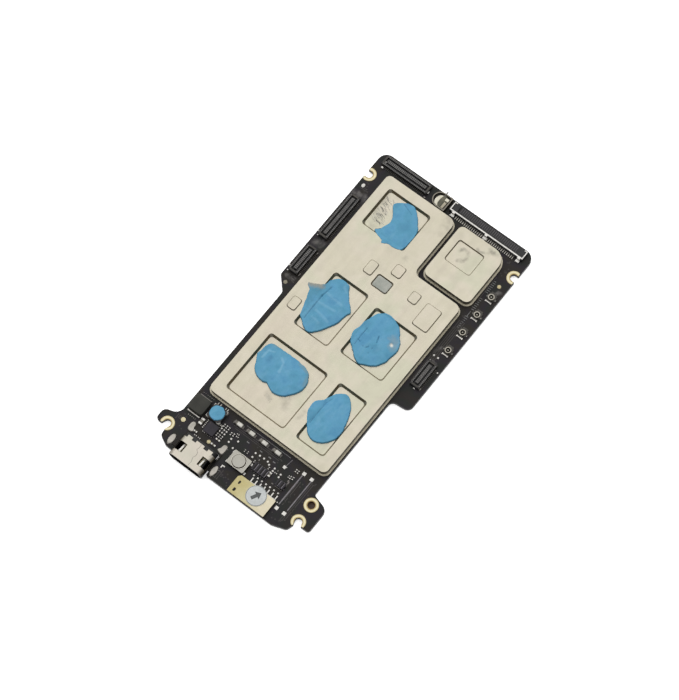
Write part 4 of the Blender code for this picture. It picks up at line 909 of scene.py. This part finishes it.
def make_shielded_parts():
    """The small parts under the lids, in loose rows between the chips, and the chips' first-pin marks."""
    draw = random.Random(41)
    boxes = [box(name + "_chip") for name in SHIELDED_CHIPS]
    areas = ((-14.0, -25.8, 15.0, 18.8), (-14.0, 19.6, 2.0, 34.2), (5.9, 23.0, 15.8, 34.5))
    across, down = 1.2, 1.5
    bm = bmesh.new()

    def beside(x, y, low, high):
        return not (low.x - CLEAR <= x <= high.x + CLEAR and low.y - CLEAR <= y <= high.y + CLEAR)

    for left, bottom, right, top in areas:
        for row, column in product(range(int((top - bottom) / down)), range(int((right - left) / across))):
            x, y = left + 0.6 + across * column, bottom + 0.6 + down * row
            if draw.random() < 0.5 and all(beside(x, y, low, high) for low, high in boxes):
                upright = draw.random() < 0.6
                sides = (0.42, 0.85) if upright else (0.85, 0.42)
                chip_part(bm, x, y, *sides, draw.uniform(0.22, 0.36), upright)
    piece("shielded_passives", bm, ["passive", "tin"], bevel=0.03)
    bm = bmesh.new()
    for low, high in boxes:
        disc(bm, low.x + 0.7, high.y - 0.7, 0.2, *on(high.z, 0.01))
        bottom, top = on(high.z, 0.008)
        for inset, width in ((0.45, 0.05), (0.6, 0.03)):
            near, far = low.y + inset, low.y + inset + width
            block(bm, (low.x + inset, near, bottom), (high.x - inset, far, top))
    piece("shielded_chip_marks", bm, "trace")


def make_row_capacitors():
    """The row of four larger capacitors: a dull left end, a short body and a bright right end, on pads."""
    pads = bmesh.new()
    for number in range(1, 5):
        low, high = box(f"capacitor_{number}")
        bm = bmesh.new()
        block(bm, (low.x + 0.12, low.y + 0.04, low.z), (high.x - 0.12, high.y - 0.04, high.z - 0.05), 0)
        block(bm, (low.x, low.y, low.z), (low.x + 0.5, high.y, high.z), 1)
        block(bm, (high.x - 1.4, low.y, low.z), (high.x, high.y, high.z), 2)
        made = piece(f"row_capacitor_{number}", bm, ["passive", "dull_tin", "cap_tin"], bevel=0.16)
        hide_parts(f"capacitor_{number}")
        for x in (low.x - 0.08, high.x + 0.08):
            slab(pads, x, (low.y + high.y) / 2, 0.4, 0.8, 0.12)
    piece("capacitor_pads", pads, "dull_tin", bevel=0.06)


def make_inductor_terminals():
    """The plated ends of the two inductors and the pins round them."""
    bm = bmesh.new()
    slab(bm, -14.6, -28.86, 3.2, 0.26, 0.45, 1)
    slab(bm, -14.6, -33.2, 3.3, 0.38, 0.45, 0)
    piece("power_inductor_ends", bm, ["tin", "dull_tin"], bevel=0.08)
    bm = bmesh.new()
    slabs(bm, [(-15.4 + 0.45 * k, -33.95) for k in range(5)], 0.24, 0.3, 0.12)
    slabs(bm, [(-15.9 + 0.55 * k, -28.1) for k in range(6)], 0.3, 0.16, 0.1)
    piece("power_inductor_pads", bm, "dull_tin", bevel=0.03)
    low, high = box("coil_inductor")
    bm = bmesh.new()
    corners = product((low.x + 0.3, high.x - 0.3), (low.y + 0.3, high.y - 0.3))
    slabs(bm, corners, 0.72, 0.72, high.z - BOARD_TOP - 0.05)
    slabs(bm, [(x, -28.15) for x in (-11.8, -11.15, -9.75, -9.25)], 0.26, 0.6, 0.2)
    piece("coil_inductor_ends", bm, "cap_tin", bevel=0.08)


def make_chip_pins():
    """Solder fillets along the sides of the chips, their first-pin marks and the ribs on two of them."""
    bm = bmesh.new()
    for node, count in (("charger_chip", 6), ("driver_chip", 6), ("sensor_chip", 4)):
        low, high = box(node)
        for k in range(count):
            x = low.x + (high.x - low.x) * ((k + 0.5) / count)
            for y in (low.y - 0.06, high.y + 0.06):
                slab(bm, x, y, 0.2, 0.24, 0.12)
        for k in range(count - 2):
            y = low.y + (high.y - low.y) * (k + 0.5) / (count - 2)
            for x in (low.x - 0.06, high.x + 0.06):
                slab(bm, x, y, 0.24, 0.16, 0.12)
    slabs(bm, [(x, -35.12) for x in (4.2, 5.05, 5.9, 8.45, 9.35, 10.2)], 0.5, 0.26, 0.1)
    for x, y, length in (
        (10.75, -32.6, 0.5), (11.05, -32.9, 0.6), (11.05, -33.7, 0.7), (7.65, -32.2, 0.3), (3.0, -32.75, 0.4),
    ):
        slab(bm, x, y, 0.24, length, 0.1)
    piece("chip_fillets", bm, "dull_tin", bevel=0.02)
    bm = bmesh.new()
    low, high = box("charger_chip")
    disc(bm, low.x + 0.4, high.y - 0.4, 0.13, *on(high.z, 0.01))
    low, high = box("driver_chip")
    disc(bm, low.x + 0.35, low.y + 0.35, 0.1, *on(high.z, 0.01))
    piece("chip_pin_marks", bm, "trace")
    bm = bmesh.new()
    for node, pitch in (("driver_chip", 0.88), ("sensor_chip", 0.95)):
        low, high = box(node)
        for k in range(round((high.x - low.x) / pitch)):
            x, bottom = low.x + 0.45 + pitch * k, high.z - SUNK
            block(bm, (x - 0.14, low.y + 0.25, bottom), (x + 0.14, high.y - 0.15, high.z + 0.04), 0)
            block(bm, (x + 0.26, low.y + 0.1, bottom), (x + 0.4, high.y - 0.1, high.z + 0.05), 1)
    piece("chip_ribs", bm, ["dark", "line_tin"], bevel=0.02)


# ---------------------------------------------------------------- port, switch and sockets


def make_port_solder():
    """The lumps of solder that hold the port's four legs."""
    boot_left = (
        (-13.75, -34.95), (-13.75, -36.1), (-13.5, -36.65), (-12.8, -36.8), (-12.25, -36.6), (-12.15, -36.1),
        (-12.5, -35.5), (-12.5, -34.9), (-12.9, -34.45), (-13.4, -34.45),
    )
    boot_right = (
        (-3.85, -34.95), (-4.1, -34.5), (-4.6, -34.45), (-5.05, -34.8), (-5.15, -35.6), (-5.5, -36.1),
        (-5.5, -36.5), (-4.8, -36.8), (-4.1, -36.8), (-3.85, -36.2),
    )
    bm = bmesh.new()
    for boot in (boot_left, boot_right):
        mound(bm, curved(boot), 0.34)
    for x, y in ((-14.75, -40.45), (-3.1, -40.55)):
        mound(bm, [point[:2] for point in oval(x, y, 0.7, 1.4, 0, 24)], 0.3)
    piece("port_leg_solder", bm, "solder", turn=180)


def make_port_details():
    """The folded seam on the shell and its spring tongues."""
    low, high = box("port_shell")
    middle = (low.x + high.x) / 2
    bm = bmesh.new()
    seam = (
        (0.25, -37.95), (0.3, -38.9), (0.1, -39.4), (0.75, -39.9), (0.85, -40.6), (0.55, -41.3), (0.9, -42.2),
        (0.8, -43.3),
    )
    for (x0, y0), (x1, y1) in zip(seam, seam[1:]):
        stroke(bm, (middle + x0, y0), (middle + x1, y1), 0.07, *on(high.z, 0.012))
    piece("port_seam", bm, "dull_tin")
    bm = bmesh.new()
    for side in (-1, 1):
        x = middle + side * 2.75
        corners = ((x - 0.22, -41.9), (x + 0.22, -41.9), (x + 0.16, -39.95), (x - 0.16, -39.95))
        lower = [(px, py, high.z - (0.75 if py > -41 else 0.3)) for px, py in corners]
        skin(bm, [lower, [(px, py, pz + 0.14) for px, py, pz in lower]])
    piece("port_tongues", bm, "bright_tin", bevel=0.03)


def make_switch_details():
    """The bright rim round the switch's button, a brown ring of painted shade in the gap inside it, and its
    solder pads.
    """
    low, high = box("switch_cover")
    x, y = (low.x + high.x) / 2, (low.y + high.y) / 2
    bm = bmesh.new()
    hoop(bm, x, y, 1.58, 1.74, high.z - 0.06, high.z + 0.05, 0, sides=48)
    # The inner brown hoop is painted shade in the gap round the button.
    hoop(bm, x, y, 1.47, 1.58, high.z - 0.06, high.z + 0.01, 1, sides=48)
    piece("switch_rim", bm, ["steel", "brown"], bevel=0.02)
    bm = bmesh.new()
    slabs(bm, product((x - 2.35, x + 2.35), (y - 1.25, y + 1.25)), 0.5, 0.6, 0.12)
    piece("switch_pads", bm, "bright_tin", bevel=0.05)


def make_edge_socket_details():
    """The cover's two oblong slots, a brown wall and a brown disc of painted shade inside the hole beside it,
    and the sticker's rim and arrow.
    """
    heights = on(box("edge_socket_cover")[1].z, 0.01)
    bm = bmesh.new()
    for x, y, rx, ry in ((3.0, -39.25, 0.2, 0.38), (3.05, -41.1, 0.26, 0.42)):
        skin(bm, [oval(x, y, rx, ry, z) for z in heights])
    piece("edge_socket_slots", bm, "dark")
    bm = bmesh.new()
    # The disc and the wall in the ground hole are brown as painted shade.
    x, y = RING_CENTRES["ground_ring"]
    disc(bm, x, y, RING_BORE - 0.01, 0.3, 0.4)
    hoop(bm, x, y, RING_BORE - 0.1, RING_BORE - 0.01, 0.35, BOARD_TOP + 0.08)
    piece("ground_hole_shade", bm, "brown")
    low, high = box("round_sticker")
    x, y, radius = (low.x + high.x) / 2, (low.y + high.y) / 2, (high.x - low.x) / 2
    bm = bmesh.new()
    hoop(bm, x, y, radius - 0.16, radius - 0.08, *on(high.z, 0.01), sides=64)
    spin = Matrix.Rotation(math.radians(-28), 2)
    shaft = ((-0.38, 0.15), (-0.38, -1.2), (0.38, -1.2), (0.38, 0.15))
    head = ((0.0, 1.25), (-0.95, 0.15), (0.95, 0.15))
    for outline, rise in ((shaft, 0.012), (head, 0.014)):
        prism(bm, [tuple(Vector((x, y)) + spin @ Vector(p)) for p in outline], *on(high.z, rise))
    piece("sticker_mark", bm, "ink")


def make_cable_socket_details():
    """The faint contacts in the long socket's mouth, the pads beside its leads and the marks at its ends."""
    low, high = box("cable_socket_housing")
    bm = bmesh.new()
    count = int((high.x - low.x - 4.2) / 0.5)
    for k in range(count):
        x = low.x + 2.3 + 0.5 * k
        block(bm, (x - 0.1, high.y - 1.5, low.z + 0.3), (x + 0.1, high.y - 0.15, low.z + 0.47))
    piece("cable_socket_contacts", bm, "rib", bevel=0.03)
    bm = bmesh.new()
    for x in (low.x + 0.95, high.x - 0.95):
        slab(bm, x, low.y - 0.55, 0.75, 0.42, 0.14)
        slab(bm, x + 0.1, low.y - 0.2, 0.4, 0.35, 0.3)
    corners = ((-1, -1), (1, -1), (0.3, 1), (-0.3, 1))
    mound(bm, [(10.1 + u * 0.42, low.y - 0.62 + v * 0.4) for u, v in corners], 0.2)
    piece("cable_socket_pads", bm, "tin", bevel=0.05)


def make_sensor_details():
    """What shows in the pressure sensor's opening: cream gel at the left, a strip, a die and a lead."""
    low, high = box("pressure_sensor_core")
    top = high.z
    crescent = (
        (-2.9, 39.12), (-3.3, 38.95), (-3.7, 38.42), (-3.88, 37.8), (-3.8, 37.15), (-3.52, 36.68),
        (-3.05, 36.5), (-2.5, 36.48), (-2.66, 36.6), (-2.92, 37.0), (-2.98, 37.7), (-2.94, 38.4),
        (-2.8, 38.95),
    )
    bm = bmesh.new()
    prism(bm, curved(crescent, 3), *on(top, 0.06))
    block(bm, (-1.98, 38.4, top - SUNK), (-1.12, 39.08, top + 0.12), 0)
    block(bm, (-1.78, low.y + 0.08, top - SUNK), (-1.22, 38.05, top + 0.08), 1)
    piece("sensor_die", bm, ["ceramic", "beige"], bevel=0.05)
    bm = bmesh.new()
    block(bm, (-2.9, low.y + 0.04, top - SUNK), (-1.98, high.y - 0.04, top + 0.05))
    block(bm, (-1.98, low.y + 0.06, top - SUNK), (-1.14, 38.4, top + 0.03))
    piece("sensor_strip", bm, "olive", bevel=0.03)
    bm = bmesh.new()
    block(bm, (-2.7, high.y - 0.3, top - 0.1), (-2.42, 40.5, top + 0.08))
    piece("sensor_lead", bm, "ridge", bevel=0.05)


def make_coax_details():
    """Inside each antenna socket a dark annulus, and beside it its pads and a flared bar."""
    tin, dark = bmesh.new(), bmesh.new()
    for number in range(1, 5):
        low, high = box(f"coax_socket_{number}")
        x, y = (low.x + high.x) / 2 - 0.05, (low.y + high.y) / 2
        hoop(dark, x, y, 0.18, 0.53, low.z + 0.15, low.z + 0.24)
        for dx in (-0.7, 0.7):
            block(dark, (x + dx - 0.3, y - 0.92, low.z + 0.15), (x + dx + 0.3, y - 0.45, low.z + 0.212))
        dome(tin, x - 0.93, y - 0.12, 0.22, 0.16, base=low.z, stretch=0.85)
        dome(tin, x + 1.12, y - 0.12, 0.16, 0.14, base=low.z)
        stroke(tin, (x - 0.7, y - 1.2), (x + 0.8, y - 1.2), 0.24, low.z - SUNK, low.z + 0.18)
        for dx in (-0.62, 0.72):
            slab(tin, x + dx, y - 1.2, 0.26, 0.42, 0.22)
    piece("coax_pads", tin, "tin", bevel=0.03)
    piece("coax_insulators", dark, "dark")


WALL_WIDTH, ISLAND_INSET, CONTACT_PITCH = 0.42, 0.8, 0.4


def bar(bm, axis, run, sides, heights):
    """A box along X (0) or Y (1), given by its run, its two sides and its heights."""
    (start, end), (near, far), (bottom, top) = run, sides, heights
    if axis:
        block(bm, (near, start, bottom), (far, end, top))
    else:
        block(bm, (start, near, bottom), (end, far, top))


def make_stacking_details():
    """Rows of contacts along the stacking connectors' walls and islands, and the clips at their ends."""
    ribs, clips = bmesh.new(), bmesh.new()
    for name, (axis, islands) in STACKING.items():
        low, high = box(name + "_stacking_connector")
        start, end, near, far, top = low[axis], high[axis], low[1 - axis], high[1 - axis], high.z
        tops = [(near + 0.05, near + WALL_WIDTH - 0.03), (far - WALL_WIDTH + 0.03, far - 0.05)]
        island = (near + ISLAND_INSET + 0.04, far - ISLAND_INSET - 0.04)
        middle = (near + far) / 2
        tops += [island] if islands == 1 else [(island[0], middle - 0.07), (middle + 0.07, island[1])]
        for k, sides in enumerate(tops):
            on_wall = k < 2
            inset = 0.35 if on_wall else 0.9
            for edge in sides[k : k + 1] if on_wall else sides:
                bar(ribs, axis, (start + inset, end - inset), (edge - 0.04, edge + 0.04), on(top, 0.02))
            length = end - start - 2 * inset
            count = int(length / CONTACT_PITCH)
            for i in range(count):
                at = start + inset + length / count * (i + 0.5)
                bar(ribs, axis, (at - 0.09, at + 0.09), (sides[0] + 0.04, sides[1] - 0.04), on(top, 0.03))
        for at in (start + 0.3, end - 0.3):
            bar(clips, axis, (at - 0.18, at + 0.18), (near + 0.3, far - 0.3), (top - 0.3, top + 0.01))
            for sides in ((near - 0.06, near + 0.1), (far - 0.1, far + 0.06)):
                bar(clips, axis, (at - 0.3, at + 0.3), sides, (BOARD_TOP - SUNK, top - 0.2))
    piece("stacking_contacts", ribs, "ridge", bevel=0.02)
    piece("stacking_clips", clips, "lead_tin", bevel=0.03)
    end_pads = (
        (-18.0, 37.95, 0.24, 0.55), (-17.9, 36.6, 0.5, 0.36), (-16.6, 39.5, 0.36, 0.3),
        (-6.1, 37.9, 0.22, 0.6), (-19.15, 27.15, 0.2, 0.9), (-19.2, 15.6, 0.2, 0.8), (17.95, 6.85, 0.2, 0.8),
        (17.95, 0.6, 0.2, 0.7),
    )
    side_pads = (
        (-16.55, 11.75, 0.3, 0.55), (-16.55, 5.5, 0.26, 0.75), (-6.2, 36.6, 0.5, 0.3), (-7.2, 39.0, 0.5, 0.2),
        (20.35, 0.6, 0.3, 0.6),
    )
    bm = bmesh.new()
    slabs(bm, end_pads, 0.5)
    dome(bm, 19.1, 0.0, 0.3, 0.1, stretch=0.5)
    piece("stacking_end_pads", bm, "bright_tin", bevel=0.05)
    bm = bmesh.new()
    slabs(bm, side_pads, 0.3)
    piece("stacking_side_pads", bm, "dull_tin", bevel=0.05)


def make_residue():
    """Scraped grey residue beside the top pad and fine scratches on the lid."""
    draw = random.Random(17)
    bm = bmesh.new()
    for k in range(90):
        y = draw.uniform(25.2, 31.6)
        x = draw.uniform(-12.3, -8.9 - 1.2 * math.sin(math.pi * (y - 25.2) / 6.4))
        length = draw.uniform(0.3, 1.3)
        tilt = math.radians(draw.gauss(-24, 9))
        reach = Vector((math.cos(tilt), math.sin(tilt))) * length / 2
        middle, width = Vector((x, y)), draw.uniform(0.04, 0.13)
        stroke(bm, middle - reach, middle + reach, width, *on(RECESS_FLOOR, 0.015))
    for k in range(7):
        x, y = -4.8 + 0.27 * k, -20.2 - 0.1 * k
        end = (x + draw.uniform(-0.1, 0.15), y - draw.uniform(0.5, 1.0))
        stroke(bm, (x, y), end, 0.05, *on(RECESS_FLOOR, 0.012))
    piece("lid_residue", bm, "residue", "main_lid")


def make_details():
    """Every added piece apart from the putty."""
    for make in (
        make_traces, make_vias, make_lines, make_dots, make_print, make_passives, make_shielded_parts,
        make_row_capacitors, make_inductor_terminals, make_chip_pins, make_port_solder, make_port_details,
        make_switch_details, make_edge_socket_details, make_cable_socket_details, make_sensor_details,
        make_coax_details, make_stacking_details, make_residue,
    ):
        make()


# ---------------------------------------------------------------- stage

FLOOR_GLOW = 0.45
LIGHT_TOWARDS = (-0.30, 0.33, 0.895)
LIGHT_BRIGHT, LIGHT_DIM = 1.95, 0.32
LIGHT_EDGE, LIGHT_CORE = 0.42, 0.82
LIGHT_COLOUR, BACKDROP = (1.0, 0.995, 0.985, 1.0), 0.97


def make_floor():
    """A plain pale floor under the board."""
    bm = bmesh.new()
    bmesh.ops.create_grid(bm, x_segments=2, y_segments=2, size=4.0)
    mesh = bpy.data.meshes.new("floor")
    bm.to_mesh(mesh)
    bm.free()
    floor = bpy.data.objects.new("floor", mesh)
    bpy.context.scene.collection.objects.link(floor)
    look = Finish("floor")
    pale = look.ramp(look.noise(6.0), ((246, 246, 246), (250, 250, 250)))
    rough = look.span(look.noise(40.0), 0.7, 0.8)
    mesh.materials.append(look.finish(pale, rough, specular_ior_level=0.1, emission_strength=FLOOR_GLOW))


def make_light():
    """A very large soft light overhead and slightly behind, in a dimmer room, before an even backdrop."""
    world = bpy.data.worlds.new("studio")
    bpy.context.scene.world = world
    world.use_nodes = True
    sky = Nodes(world.node_tree)
    place = sky.add("ShaderNodeTexCoord").outputs["Generated"]
    inputs = {0: place, 1: Vector(LIGHT_TOWARDS).normalized()}
    facing = sky.add("ShaderNodeVectorMath", inputs, operation="DOT_PRODUCT").outputs["Value"]
    inputs = {0: facing, 1: LIGHT_EDGE, 2: LIGHT_CORE, 3: LIGHT_DIM, 4: LIGHT_BRIGHT}
    fade = sky.add("ShaderNodeMapRange", inputs, interpolation_type="SMOOTHSTEP").outputs[0]
    lit = sky.add("ShaderNodeBackground", {"Color": LIGHT_COLOUR, "Strength": fade}).outputs[0]
    seen = sky.add("ShaderNodeBackground", {"Color": LIGHT_COLOUR, "Strength": BACKDROP}).outputs[0]
    direct = sky.add("ShaderNodeLightPath").outputs["Is Camera Ray"]
    shown = sky.add("ShaderNodeMixShader", {0: direct, 1: lit, 2: seen}).outputs[0]
    sky.add("ShaderNodeOutputWorld", {"Surface": shown})


def make_camera():
    """A long lens, high over the board's near right side."""
    data = bpy.data.cameras.new("camera")
    data.sensor_width = CAMERA_SENSOR
    data.lens = CAMERA_LENS
    data.clip_start, data.clip_end = CAMERA_RANGE
    camera = bpy.data.objects.new("camera", data)
    camera.location = CAMERA_PLACE
    camera.rotation_euler = Euler([math.radians(angle) for angle in CAMERA_TURN], "XYZ")
    bpy.context.scene.collection.objects.link(camera)
    bpy.context.scene.camera = camera
    bpy.context.scene.view_settings.view_transform = "Standard"


dress_nodes()
make_putty()
make_details()
make_floor()
make_light()
make_camera()
